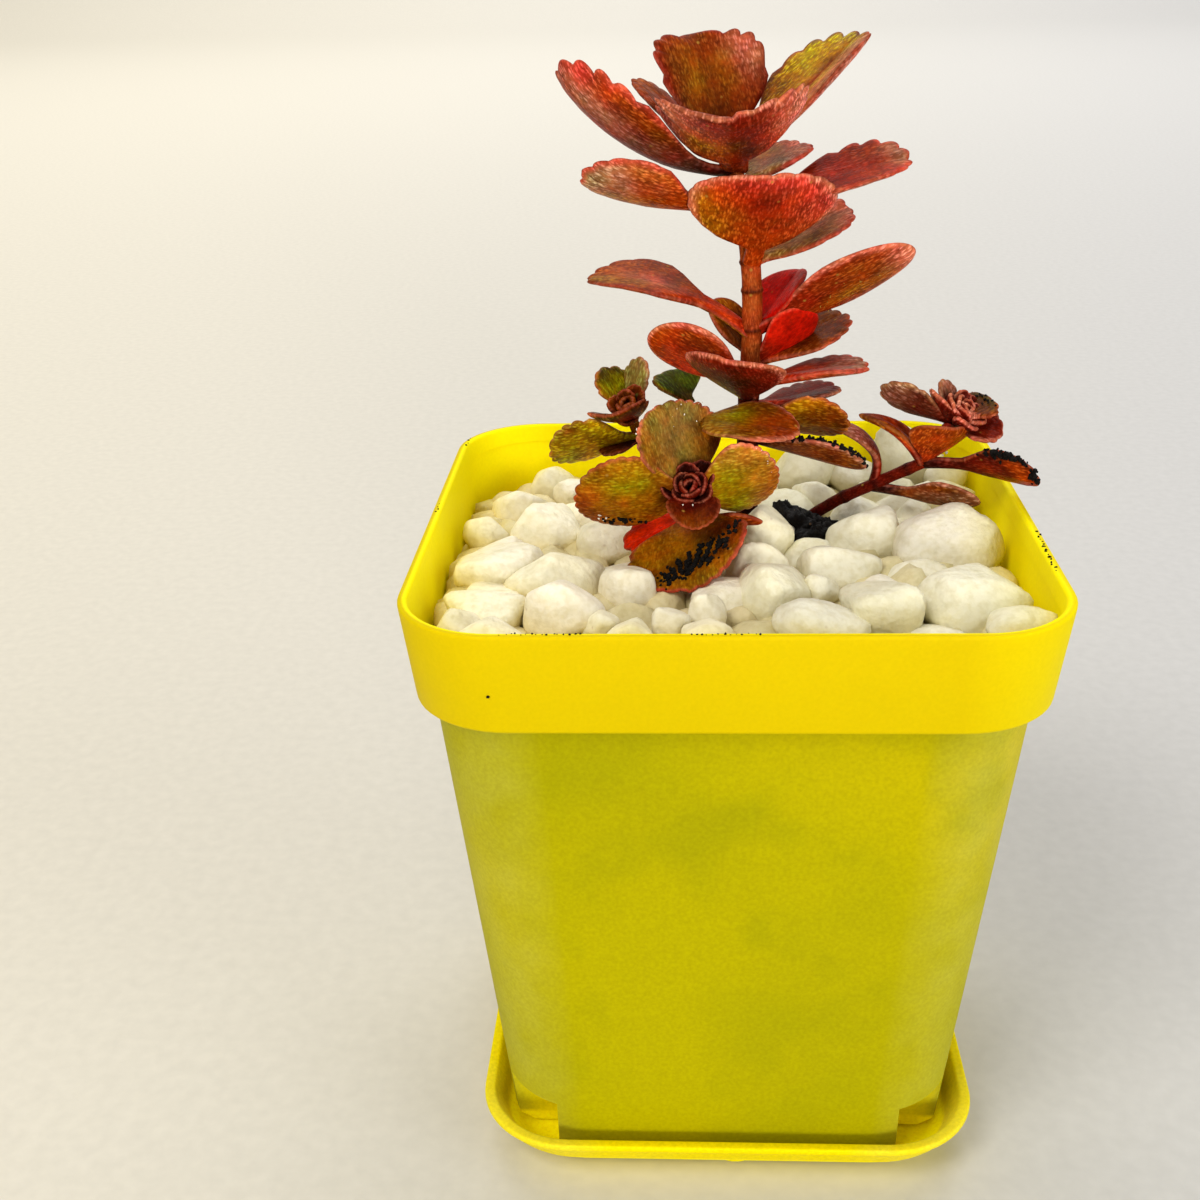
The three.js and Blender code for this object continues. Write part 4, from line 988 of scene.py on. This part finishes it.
def blade(base, along, up, length, width, cup, arch, thick, thin, outline, colours, seed, patches=()):
    """A fleshy leaf: the bent middle surface with both faces offset by its half thickness.

    The grid runs round the margin and from the midrib out to it. The half thickness falls from thick to
    thin with the square of the share across, and to nothing at the margin as (1 - share^8)^0.5, which
    rounds the edge. The upper face has a groove over the midrib, and the blade waves a little towards its
    margin. Clear red skin and leaves with many scallops carry less frost."""
    rng = np.random.default_rng(seed)
    scallops = outline[4]
    large = length > SMALL_LEAF
    edge = margin_of(outline, max(26, 9 * scallops) if large else max(16, 5 * scallops), rng)
    rows = LEAF_ROWS if large else SMALL_LEAF_ROWS
    share = 1 - (1 - np.arange(rows + 1) / rows) ** 1.7
    index = leaf_index(len(edge) - 1, rows)
    rib = 0.8 * edge[:, 2, None]
    x = (rib + (edge[:, 0, None] - rib) * share) * length
    y = edge[:, 1, None] * share * width / 2
    flat = bent(x, y, length, width, cup, arch)
    wave = np.cos(x / length * 7 + rng.uniform(0, 6)) * 0.018 * width * share**2 * np.sign(y)
    flat[..., 2] += wave * np.clip(x / (0.3 * length), 0, 1)
    points = by_point(index, flat)
    normals = surface_normals(points, grid_quads(index))

    across = by_point(index, np.broadcast_to(share, index.shape))
    x, y = by_point(index, x / length), by_point(index, y / (width / 2))
    half = 0.5 * (thick + (thin - thick) * across**2) * np.sqrt(1 - np.minimum(across, 1) ** 8)
    groove = np.exp(-((y * width / 2 / 0.7) ** 2)) * smooth_step(0.05, 0.3, x)
    upper = points + normals * (half * (1 - 0.35 * groove))[:, None]
    lower = points - normals * (half * (1 + 0.12 * groove))[:, None]
    number = np.arange(len(points))
    inner = number < index[0, -1]
    below = np.where(inner, number + len(points), number)

    grain = np.stack([x * length, y * width / 2], axis=-1)
    spots = rng.uniform(0.7, 1.6, (4, 2)) * rng.choice([-1, 1], (4, 2))
    cloud = np.cos(grain @ spots.T + rng.uniform(0, 6, 4)).mean(axis=1)
    many = scallops > MANY_SCALLOPS
    rim = smooth_step(0.92 if many else 0.85, 0.98, across + 0.05 * cloud) * smooth_step(0.2, 0.5, x) * 0.9
    # The pale edge: partly pale skin, partly a painted highlight where the edge catches the light
    pale_edge = smooth_step(0.95, 1, across) * 0.45
    names = [linear(name) for name in colours.split()]
    shade = (1 + 0.16 * cloud)[:, None]
    top, under = (
        leaf_paint(face, x, y, rim, pale_edge, cloud, names, patches) * shade for face in ("top", "under")
    )
    # Painted shade on the upper faces and painted light on the undersides
    tint = np.concatenate([top * TOP_PAINTED_SHADE, under[inner] * UNDER_PAINTED_LIGHT])
    worn_edge = 1 - 0.65 * smooth_step(0.9, 1, across)
    frost = np.concatenate([(0.25 + 0.5 * across) * worn_edge, ((0.55 + 0.4 * across) * worn_edge)[inner]])
    frost = frost * smooth_step(0.015, 0.09, tint[:, 1] / tint[:, 0]) * (0.55 if many else 1)

    place = np.stack([along, np.cross(up, along), up])
    local = np.concatenate([upper, lower[inner]])
    made = shape_of(
        local @ place + base, leaf_faces(index, below),
        tint=tint, grain=np.concatenate([grain, grain[inner]]), frost=frost,
    )
    made["skin"] = {
        "top": (number, x, y, normals @ place),
        "under": (below[inner], x[inner], y[inner], -normals[inner] @ place),
    }
    return made


def bud(route):
    """Leaflets round a stem's tip, each a golden turn from the last, shorter and steeper inwards."""
    axis, leaflets, length, lean_out, colours = BUDS[route]
    centre = unit(np.array(axis, float))
    aside = unit(np.cross((1, 0, 0), centre))
    over = np.cross(centre, aside)
    base = np.array(ROUTES[route][-1], float) - 0.3 * centre
    made = []
    for k in range(leaflets):
        lean = math.radians(lean_out * (1 - 0.75 * k / leaflets))
        outward = aside * math.cos(k * GOLDEN_TURN) + over * math.sin(k * GOLDEN_TURN)
        along = centre * math.cos(lean) + outward * math.sin(lean)
        up = unit(centre - along * (centre @ along))
        size = length * (1 - 0.4 * k / leaflets)
        frill = OUTLINES["frill"]
        made.append(blade(base, along, up, size, size * 0.8, 70, 30, 0.8, 0.6, frill, colours, 500 + k))
    return made


def leaves(route):
    made = []
    for k, row in enumerate(LEAVES[route]):
        height, towards, rise, roll, length, width, cup, arch, outline, colours, *patches = row
        along, up = leaf_axes(towards, rise, roll)
        thick = 1.3 if length > 9 else 1
        seed = 31 * (k + 1) + number_of(route)
        made.append(blade(
            on_route(route, height), along, up, length, width, cup, arch,
            thick, 0.65, OUTLINES[outline], colours, seed, patches,
        ))
    return made + (bud(route) if route in BUDS else [])


# Dirt that lies on the leaves: the leaf's number in its table, side, place along and across in shares of
# the leaf, spread along and across, number of crumbs, their size and colour
DIRT = {
    "main": [
        (21, "top", 0.6, -0.7, 0.3, 0.25, 170, 0.26, "loam"),
        (21, "top", 0.9, -0.2, 0.1, 0.3, 40, 0.24, "loam"),
        (11, "under", 0.6, 0.2, 0.25, 0.4, 30, 0.09, "straw"),
    ],
    "front": [
        (5, "top", 0.84, -0.26, 0.06, 0.16, 60, 0.25, "loam"),
        (5, "top", 0.74, -0.02, 0.09, 0.18, 120, 0.28, "loam"),
        (5, "top", 0.68, 0.24, 0.1, 0.18, 130, 0.28, "loam"),
        (5, "top", 0.62, 0.52, 0.08, 0.16, 70, 0.25, "loam"),
        (5, "top", 0.5, 0.75, 0.06, 0.1, 30, 0.24, "loam"),
        (0, "under", 0.55, -0.6, 0.12, 0.08, 44, 0.22, "loam"),
        (0, "under", 0.75, -0.55, 0.1, 0.1, 6, 0.2, "grit"), (1, "top", 0.8, 0, 0.15, 0.6, 9, 0.09, "grit"),
        (1, "top", 0.97, -0.1, 0.03, 0.8, 30, 0.08, "grit"),
        (2, "under", 0.97, 0, 0.03, 0.8, 16, 0.07, "grit"),
        (2, "under", 0.8, -0.6, 0.2, 0.3, 4, 0.09, "grit"), (3, "top", 0.5, 0, 0.2, 0.4, 6, 0.1, "grit"),
    ],
    "right": [
        (3, "under", 0.75, -0.9, 0.22, 0.12, 150, 0.25, "loam"),
        (3, "under", 0.98, -0.3, 0.03, 0.4, 50, 0.25, "loam"),
        (3, "under", 0.4, 0.5, 0.15, 0.3, 6, 0.1, "grit"),
        (2, "under", 0.3, 0.6, 0.1, 0.3, 3, 0.14, "grit"),
    ],
    "rightTip": [(3, "top", 0.8, 0, 0.2, 0.6, 20, 0.2, "loam")],
}
# Specks on the pot, each row from one end to the other: number, size
SPECKS_ON_POT = [
    ((-24.8, -36.8, 81.2), (-16.4, -36.8, 81.2), 16, 0.13),
    ((-4.8, -36.8, 81.2), (2.5, -36.8, 81.2), 13, 0.13),
    ((37, -8, 81.2), (36.7, -20, 81.2), 16, 0.17), ((-36.3, 29.9, 81.2), (-36.4, 27, 81.2), 4, 0.16),
    ((-36.9, 3, 81.2), (-36.9, 0, 81.2), 4, 0.16),
    ((-26.57, -36.64, 73.76), (-26.5, -36.64, 73.8), 2, 0.22),
]


def dirt(route, shapes):
    """Crumbs on a route's leaves, each at the mesh point nearest to a place drawn in its patch."""
    made = []
    for k, (leaf, side, x, y, x_spread, y_spread, count, size, colour) in enumerate(DIRT.get(route, ())):
        rng = np.random.default_rng(900 + k + number_of(route))
        index, x_of, y_of, out = shapes[leaf]["skin"][side]
        for j in range(count):
            want_x, want_y = rng.normal(x, x_spread * 0.6), rng.normal(y, y_spread * 0.6)
            near = np.argmin((x_of - want_x) ** 2 + (y_of - want_y) ** 2)
            radius = size * rng.uniform(0.5, 1.25)
            place = shapes[leaf]["points"][index[near]] + out[near] * radius * 0.3 + rng.normal(0, 0.14, 3)
            made.append(crumb(place, radius, 7 * j + k, colour))
    return made


def pot_specks():
    """Rows of specks, each along its line at even steps with a little scatter."""
    rng = np.random.default_rng(5)
    made = []
    for k, (start, end, count, size) in enumerate(SPECKS_ON_POT):
        for j, share in enumerate(np.linspace(0, 1, count)):
            place = np.array(start) * (1 - share) + np.array(end) * share
            place = place + rng.normal(0, 0.12, 3) * (1, 1, 0)
            made.append(crumb(place, size * rng.uniform(0.5, 1.3), 50 * k + j, "loam"))
    return made


def add_node(tree, kind, inputs=None, **settings):
    """A shader node with its settings and its inputs, each a value or another node's output."""
    made = tree.nodes.new(kind)
    for key, value in settings.items():
        setattr(made, key, value)
    for key, value in (inputs or {}).items():
        if isinstance(value, bpy.types.NodeSocket):
            tree.links.new(value, made.inputs[key])
        else:
            made.inputs[key].default_value = value
    return made


def colour4(colour):
    return (*linear(colour), 1)


def mixed(tree, factor, first, second, kind="MIX"):
    """The colour that a Mix node gives."""
    inputs = {0: factor, 6: first, 7: second}
    return add_node(tree, "ShaderNodeMix", inputs, data_type="RGBA", blend_type=kind).outputs[2]


def times(tree, first, second):
    """Two colours multiplied."""
    return mixed(tree, 1.0, first, second, "MULTIPLY")


def maths(tree, operation, *values, clamp=False):
    """The result of a Math node."""
    inputs = dict(enumerate(values))
    return add_node(tree, "ShaderNodeMath", inputs, operation=operation, use_clamp=clamp).outputs[0]


def ramp(tree, value, low, high, first=0.0, last=1.0, curve="LINEAR"):
    """first where the value is at low, last where it is at high, and a ramp between them."""
    inputs = {"Value": value, "From Min": low, "From Max": high, "To Min": first, "To Max": last}
    return add_node(tree, "ShaderNodeMapRange", inputs, interpolation_type=curve).outputs["Result"]


def attribute(tree, name, output="Color"):
    """What a mesh attribute holds."""
    return add_node(tree, "ShaderNodeAttribute", attribute_name=name).outputs[output]


def noise(tree, place, scale, detail):
    """Fractal noise from 0 to 1."""
    inputs = {"Vector": place, "Scale": scale, "Detail": detail}
    return add_node(tree, "ShaderNodeTexNoise", inputs).outputs["Fac"]


def bump(tree, height, strength, distance, **more):
    """The normal that a Bump node gives."""
    inputs = {"Height": height, "Strength": strength, "Distance": distance, **more}
    return add_node(tree, "ShaderNodeBump", inputs).outputs["Normal"]


def new_group(name, numbers, output, kind="NodeSocketFloat"):
    """An empty shader group with a Vector and some numbers going in, one output, and its end nodes."""
    group = bpy.data.node_groups.new(name, "ShaderNodeTree")
    group.interface.new_socket("Vector", in_out="INPUT", socket_type="NodeSocketVector")
    for key, value in numbers.items():
        group.interface.new_socket(key, in_out="INPUT", socket_type="NodeSocketFloat").default_value = value
    group.interface.new_socket(output, in_out="OUTPUT", socket_type=kind)
    given = group.nodes.new("NodeGroupInput").outputs
    return group, given, group.nodes.new("NodeGroupOutput").inputs[output]


def mottle_group():
    """Cloudy change over a surface: fractal noise spread from Low to High."""
    group, given, out = new_group("mottle", {"Scale": 200.0, "Low": 0.8, "High": 1.1}, "Value")
    cloud = noise(group, given["Vector"], given["Scale"], 4.0)
    group.links.new(ramp(group, cloud, 0.3, 0.7, given["Low"], given["High"]), out)
    return group


def specks_group():
    """Small scattered specks: 1 near the middle of cells whose random value is below Amount."""
    group, given, out = new_group("specks", {"Scale": 900.0, "Amount": 0.2, "Size": 0.3}, "Mask")
    inputs = {"Vector": given["Vector"], "Scale": given["Scale"]}
    cells = add_node(group, "ShaderNodeTexVoronoi", inputs).outputs
    draw = add_node(group, "ShaderNodeSeparateColor", {"Color": cells["Color"]}).outputs["Red"]
    chosen = maths(group, "LESS_THAN", draw, given["Amount"])
    near = ramp(group, cells["Distance"], 0.0, given["Size"], 1.0, 0.0)
    group.links.new(maths(group, "MULTIPLY", chosen, near), out)
    return group


def relief_group():
    """Fine grain as a normal: noise of a given size and height."""
    numbers = {"Scale": 1500.0, "Strength": 0.2, "Depth": 0.0001}
    group, given, out = new_group("relief", numbers, "Normal", "NodeSocketVector")
    height = noise(group, given["Vector"], given["Scale"], 3.0)
    group.links.new(bump(group, height, given["Strength"], given["Depth"]), out)
    return group


def effect(group, tree, place, *values):
    """What a node group gives at a place, its other inputs set in turn."""
    inputs = dict(enumerate((place, *values)))
    return add_node(tree, "ShaderNodeGroup", inputs, node_tree=group).outputs[0]


mottle = partial(effect, mottle_group())
specks = partial(effect, specks_group())
relief = partial(effect, relief_group())


def new_material(name, values):
    """A material, its tree, its shader's inputs with the given plain values, and the Object coordinates."""
    material = bpy.data.materials.new(name)
    material.use_nodes = True
    tree = material.node_tree
    shader = tree.nodes["Principled BSDF"].inputs
    for key, value in values.items():
        shader[key].default_value = value
    return material, tree, shader, add_node(tree, "ShaderNodeTexCoord").outputs["Object"]


def finished(surface, colour, gloss=None, grain=None):
    """A material given its colour, its gloss (scale, low, high) and its grain (scale, strength, depth)."""
    material, tree, shader, place = surface
    tree.links.new(colour, shader["Base Color"])
    if gloss:
        tree.links.new(mottle(tree, place, *gloss), shader["Roughness"])
    if grain:
        tree.links.new(relief(tree, place, *grain), shader["Normal"])
    return material


PLASTIC = {
    "Specular IOR Level": 0.03,
    "Subsurface Weight": 0.35,
    "Subsurface Scale": 0.0016,
    "Subsurface Radius": (1.0, 0.8, 0.1),
}
BODY_YELLOW = (170, 160, 0)
SAUCER_YELLOW = (234, 212, 0)
BAND_YELLOW = (207, 181, 0)
LIT_YELLOW = (230, 208, 0)
INNER_YELLOW = (255, 236, 4)
SMUDGE_YELLOW = (142, 140, 4)
WORN_SHEEN_YELLOW = (205, 202, 96)
# Where the band and the upper wall grow brighter towards the window, in metres
LIT_END = (0.024, 0.038)
LIT_UPPER = (0.058, 0.09)


def corner_wear_and_sheen(tree, where, place):
    """Pale round corners, partly scuffs and partly painted sheen, where |x| + |y| comes near twice the half
    width at that height.
    """
    half = ramp(tree, where["Z"], 0.0, BAND_BOTTOM * MM, BODY_FOOT_HALF * MM, BODY_TOP_HALF * MM)
    both = maths(tree, "ADD", maths(tree, "ABSOLUTE", where["X"]), maths(tree, "ABSOLUTE", where["Y"]))
    corner = ramp(tree, maths(tree, "DIVIDE", both, half), 1.62, 1.78, 0.0, 0.2)
    return maths(tree, "MULTIPLY", corner, mottle(tree, place, 160, 0.3, 1.1), clamp=True)


def plastic_material(name, lower, soiling):
    """Matte yellow plastic: duller where soil lies behind it, brighter in the band, faintly smudged.

    Painted light brightens the inside, the foot's edge, the band's right end and the upper wall, and
    the round corners are pale with wear and painted sheen.
    """
    surface = new_material(name, PLASTIC)
    material, tree, shader, place = surface
    where = add_node(tree, "ShaderNodeSeparateXYZ", {"Vector": place}).outputs
    in_band = ramp(tree, where["Z"], (BAND_BOTTOM - 0.6) * MM, (BAND_BOTTOM + 0.4) * MM)
    lit_end = ramp(tree, where["X"], *LIT_END)
    band = mixed(tree, lit_end, colour4(BAND_YELLOW), colour4(LIT_YELLOW))
    outside = mixed(tree, in_band, colour4(lower), band)
    # The inside and the foot notches' faces take a brighter yellow: painted light that lifts their shade
    base = mixed(tree, attribute(tree, "inner", "Fac"), outside, colour4(INNER_YELLOW))
    dull = mixed(tree, soiling, base, colour4(SMUDGE_YELLOW))
    # Painted light: the upper wall grows paler towards the top and the right
    thin = ramp(tree, maths(tree, "MULTIPLY_ADD", where["X"], 0.55, where["Z"]), *LIT_UPPER, 0.0, 0.5)
    paler = mixed(tree, thin, base, colour4(BAND_YELLOW))
    clouded = mixed(tree, mottle(tree, place, 30, -0.5, 0.9), paler, dull)
    smudged = mixed(tree, mottle(tree, place, 75, -1.1, 0.7), clouded, dull)
    # Pale corners: partly wear, partly painted sheen
    scuffed_and_sheened = mixed(tree, corner_wear_and_sheen(tree, where, place), smudged, colour4(WORN_SHEEN_YELLOW))
    painted = mixed(tree, in_band, scuffed_and_sheened, mixed(tree, 0.85, smudged, base))
    # Painted light: the foot's edge is brightened towards the inner yellow, lifting its shade
    foot_edge = ramp(tree, where["Z"], (POT_FOOT + 1.8) * MM, (POT_FOOT + FOOT_CHAMFER) * MM)
    foot_lightened = mixed(tree, foot_edge, painted, colour4(INNER_YELLOW))
    grain = mottle(tree, place, 2200, 0.9, 1.08)
    grained = mixed(tree, ramp(tree, in_band, 0.0, 1.0, 1.0, 0.3), foot_lightened, grain, "MULTIPLY")
    colour = mixed(tree, specks(tree, place, 260, 0.006, 0.16), grained, colour4("wine"))
    return finished(surface, colour, (120, 0.48, 0.64), (1600, 0.12, 0.00008))


def pebble_material():
    """Tumbled cream stone: cloudy, faintly veined and pitted."""
    surface = new_material("tumbled_stone", {"Specular IOR Level": 0.3})
    material, tree, shader, place = surface
    cloudy = times(tree, attribute(tree, "tint"), mottle(tree, place, 300, 0.94, 1.05))
    veins = mottle(tree, place, 1000, -0.6, 1.1)
    veined = mixed(tree, veins, cloudy, times(tree, cloudy, (0.9, 0.88, 0.8, 1)))
    pits = specks(tree, place, 900, 0.02, 0.25)
    colour = mixed(tree, pits, veined, mixed(tree, 0.35, veined, colour4("rust")))
    return finished(surface, colour, (300, 0.36, 0.58), (600, 0.9, 0.0005))


def soil_material():
    """Near-black moist soil with a few paler grains."""
    surface = new_material("potting_soil", {"Specular IOR Level": 0.2})
    material, tree, shader, place = surface
    base = times(tree, colour4("loam"), mottle(tree, place, 700, 0.4, 1.6))
    colour = mixed(tree, specks(tree, place, 1500, 0.06, 0.35), base, colour4("fibre"))
    return finished(surface, colour, (900, 0.6, 1.0), (2200, 0.9, 0.0003))


def crumb_material():
    """Loose crumbs in their own colours."""
    surface = new_material("crumbs", {"Roughness": 0.85, "Specular IOR Level": 0.15})
    material, tree, shader, place = surface
    colour = times(tree, attribute(tree, "tint"), mottle(tree, place, 2500, 0.6, 1.2))
    return finished(surface, colour, grain=(4000, 0.6, 0.0001))


def skin_material(name, streak, gloss_low, gloss_high):
    """Waxy plant skin in each leaf's tint: mottled, with frosted papillae in rows along it."""
    surface = new_material(name, {"Specular IOR Level": 0.03})
    material, tree, shader, place = surface
    tint = attribute(tree, "tint")
    redder = times(tree, tint, (1.06, 0.7, 0.5, 1))
    golden = times(tree, tint, (1.0, 1.1, 0.6, 1))
    varied = mixed(tree, mottle(tree, place, 380, -0.1, 1.1), redder, golden)
    deep = times(tree, varied, (0.7, 0.54, 0.42, 1))
    clouded = times(tree, deep, mottle(tree, place, 420, 0.6, 1.35))
    mottled = times(tree, clouded, mottle(tree, place, 2100, 0.72, 1.42))
    along = add_node(tree, "ShaderNodeUVMap", uv_map="grain").outputs["UV"]
    rows = add_node(tree, "ShaderNodeMapping", {"Vector": along, "Scale": streak}).outputs["Vector"]
    papillae = maths(tree, "MAXIMUM", mottle(tree, rows, 1.0, -1.1, 0.75), specks(tree, rows, 1.1, 0.5, 0.6))
    frosted = maths(tree, "MULTIPLY", papillae, attribute(tree, "frost", "Fac"), clamp=True)
    pale = mixed(tree, 0.05, times(tree, varied, (2.5, 3.2, 3.8, 1)), colour4("blush"))
    glints = specks(tree, place, 1100, 0.035, 0.3)
    colour = mixed(tree, glints, mixed(tree, frosted, mottled, pale), colour4("straw"))
    beads = bump(tree, papillae, 0.5, 0.0001)
    fine = bump(tree, noise(tree, place, 2800.0, 3.0), 0.3, 0.00008, Normal=beads)
    tree.links.new(fine, shader["Normal"])
    return finished(surface, colour, (700, gloss_low, gloss_high))


def floor_material():
    """Matte paper, faintly mottled, with painted light and shade: warmer and lighter on the left, cooler and
    darker on the right.
    """
    surface = new_material("paper", {"Roughness": 0.9, "Specular IOR Level": 0.1})
    material, tree, shader, place = surface
    where = add_node(tree, "ShaderNodeSeparateXYZ", {"Vector": place}).outputs
    # Painted light and shade: a fan from in front of the object, lit and warm on the left, shaded and cool
    # on the right
    reach = maths(tree, "MAXIMUM", maths(tree, "ADD", where["Y"], 0.3), 0.1)
    share = ramp(tree, maths(tree, "DIVIDE", where["X"], reach), -0.55, 0.55, curve="SMOOTHSTEP")
    base = mixed(tree, share, colour4("warm lit paper"), colour4("cool shaded paper"))
    colour = times(tree, base, mottle(tree, place, 420, 0.96, 1.025))
    return finished(surface, colour, grain=(700, 0.08, 0.0002))


body_plastic = plastic_material("pot_plastic", BODY_YELLOW, 0.6)
saucer_plastic = plastic_material("saucer_plastic", SAUCER_YELLOW, 0.08)
stone_finish = pebble_material()
soil_finish = soil_material()
crumb_finish = crumb_material()
leaf_finish = skin_material("leaf_skin", (1.15, 3.0, 1.0), 0.27, 0.45)
bark_finish = skin_material("stem_skin", (40.0, 6.0, 1.0), 0.25, 0.5)

pot = add_piece("pot_shell", pot_mesh(), body_plastic, "pot")
finish_moulding(pot, 0.2)
add_shape("pot_specks", stack(pot_specks()), crumb_finish, "pot")
add_shape("saucer_dish", saucer_shape(), saucer_plastic, "saucer", 60)

all_stones = [stone(row, 100 + k) for k, row in enumerate([*STONES, *drawn_stones()])]
fillers = [stone(row, 700 + k, 16, 10) for k, row in enumerate([*filler_stones(), *edge_stones()])]
# Painted shade: the lower layer of stones is darker and warmer
for filler in fillers:
    filler["fields"]["tint"] *= LOWER_LAYER_SHADE
add_shape("white_stones", stack(all_stones), stone_finish, "pebbles")
add_shape("lower_stones", stack(fillers), stone_finish, "pebbles")
bed = square_loft([
    (BED_LOWER_HALF, CORNER_RADIUS - 2, SOIL_TOP + FIT_GAP),
    (BED_LOWER_HALF, CORNER_RADIUS - 2, LEDGE + 0.4),
    (BED_UPPER_HALF, CORNER_RADIUS - 1.4, LEDGE + 0.7),
    (BED_UPPER_HALF, CORNER_RADIUS - 1.4, BED_TOP - FILLER_DEPTH - 0.6),
], BED_SLOPE * 0.5)
# Painted shade: the bed beneath the stones is darker and warmer
bed["fields"]["tint"] = np.tile(linear("cream") * BED_SHADE, (len(bed["points"]), 1))
add_shape("stone_bed", bed, stone_finish, "pebbles", 30)

fill = carved("soil_fill", cavity(FIT_GAP, CAVITY_FLOOR + FIT_GAP, SOIL_TOP), [foot_notches(WALL + FIT_GAP)])
add_piece("soil_fill", fill, soil_finish, "soil")
clods = stack([clod(row, 40 + k) for k, row in enumerate(CLODS)])
add_shape("soil_clods", clods, soil_finish, "soil")

SHOOTS = {
    "main_shoot": (["main"], "red_leaf"),
    "front_shoot": (["front", "low"], "olive_leaf"),
    "left_shoot": (["left", "leftBack"], "olive_leaf"),
    "right_shoot": (["right", "rightTip"], "red_leaf"),
}
for node, (routes, slot) in SHOOTS.items():
    grown = {route: leaves(route) for route in routes}
    crumbs = [one for route in routes for one in dirt(route, grown[route])]
    foliage = stack([leaf for route in routes for leaf in grown[route]])
    add_shape(f"{node}_leaves", foliage, leaf_finish, node)
    add_shape(f"{node}_stems", stack([stem(route) for route in routes]), bark_finish, node)
    if crumbs:
        add_shape(f"{node}_crumbs", stack(crumbs), crumb_finish, node)


def aim(thing, place, right, up):
    """Put a camera or a light at a place in metres, looking against the cross product of right and up."""
    turn = np.eye(4)
    turn[:3, :3] = np.column_stack([right, up, np.cross(right, up)])
    turn[:3, 3] = place
    thing.matrix_world = Matrix(turn.tolist())


def add_camera():
    data = bpy.data.cameras.new("camera")
    data.lens = LENS
    data.sensor_width = 36
    data.clip_start, data.clip_end = 0.01, 30
    camera = placed("camera", data)
    aim(camera, np.array(VIEW_FROM) * MM, VIEW_RIGHT, VIEW_UP)
    bpy.context.scene.camera = camera


def add_softbox(name, place, target, size, power, colour):
    """A square area light that faces its target."""
    data = bpy.data.lights.new(name, "AREA")
    data.size = size
    data.energy = power
    data.color = colour
    back = unit(np.array(place, float) - np.array(target, float))
    right = unit(np.cross((0, 0, 1), back))
    aim(placed(name, data), place, right, np.cross(back, right))


# The paper sheet in metres: its front end, where it bends up, the bend's radius, its top and its half width
PAPER_FRONT = -3
PAPER_BEND = 2.2
PAPER_ROUND = 1.2
PAPER_TOP = 4
PAPER_HALF = 4


def add_ground():
    """A wide sheet of paper that lies flat and rises far behind the object in a quarter round."""
    flat = np.stack([np.linspace(PAPER_FRONT, PAPER_BEND, 60), np.zeros(60)], axis=-1)
    turn = np.linspace(0, math.pi / 2, 20)[1:]
    rise = np.stack([np.sin(turn), 1 - np.cos(turn)], axis=-1) * PAPER_ROUND + (PAPER_BEND, 0)
    side = np.concatenate([flat, rise, [[PAPER_BEND + PAPER_ROUND, PAPER_TOP]]])
    across = np.linspace(-PAPER_HALF, PAPER_HALF, 41)
    points = np.stack(np.broadcast_arrays(across, side[:, :1], side[:, 1:]), axis=-1)
    index = np.arange(points[..., 0].size).reshape(points.shape[:2])
    ground = placed("ground", mesh_of("ground", shape_of(points.reshape(-1, 3) / MM, [grid_quads(index.T)])))
    ground.data.materials.append(floor_material())


add_camera()
add_ground()
add_softbox("window", (-0.9, -1.05, 1.6), (0, 0, 0.06), 0.9, 23.0, (1.0, 0.975, 0.92))
add_softbox("room", (1.4, -0.8, 0.6), (0, 0, 0.06), 0.9, 8.0, (0.97, 0.98, 1.0))
add_softbox("backdrop", (0, 1.7, 1.9), (0, 2.2, 0), 2.2, 58.0, (1.0, 0.99, 0.96))
add_softbox("low_front", (0.3, -1.5, 0.2), (0, 0, 0.02), 0.36, 14.0, (1.0, 0.98, 0.95))
world = bpy.data.worlds.new("room_light")
world.use_nodes = True
world.node_tree.nodes["Background"].inputs["Color"].default_value = (1.0, 0.985, 0.96, 1)
world.node_tree.nodes["Background"].inputs["Strength"].default_value = 0.36
bpy.context.scene.world = world
bpy.context.scene.view_settings.view_transform = "Standard"
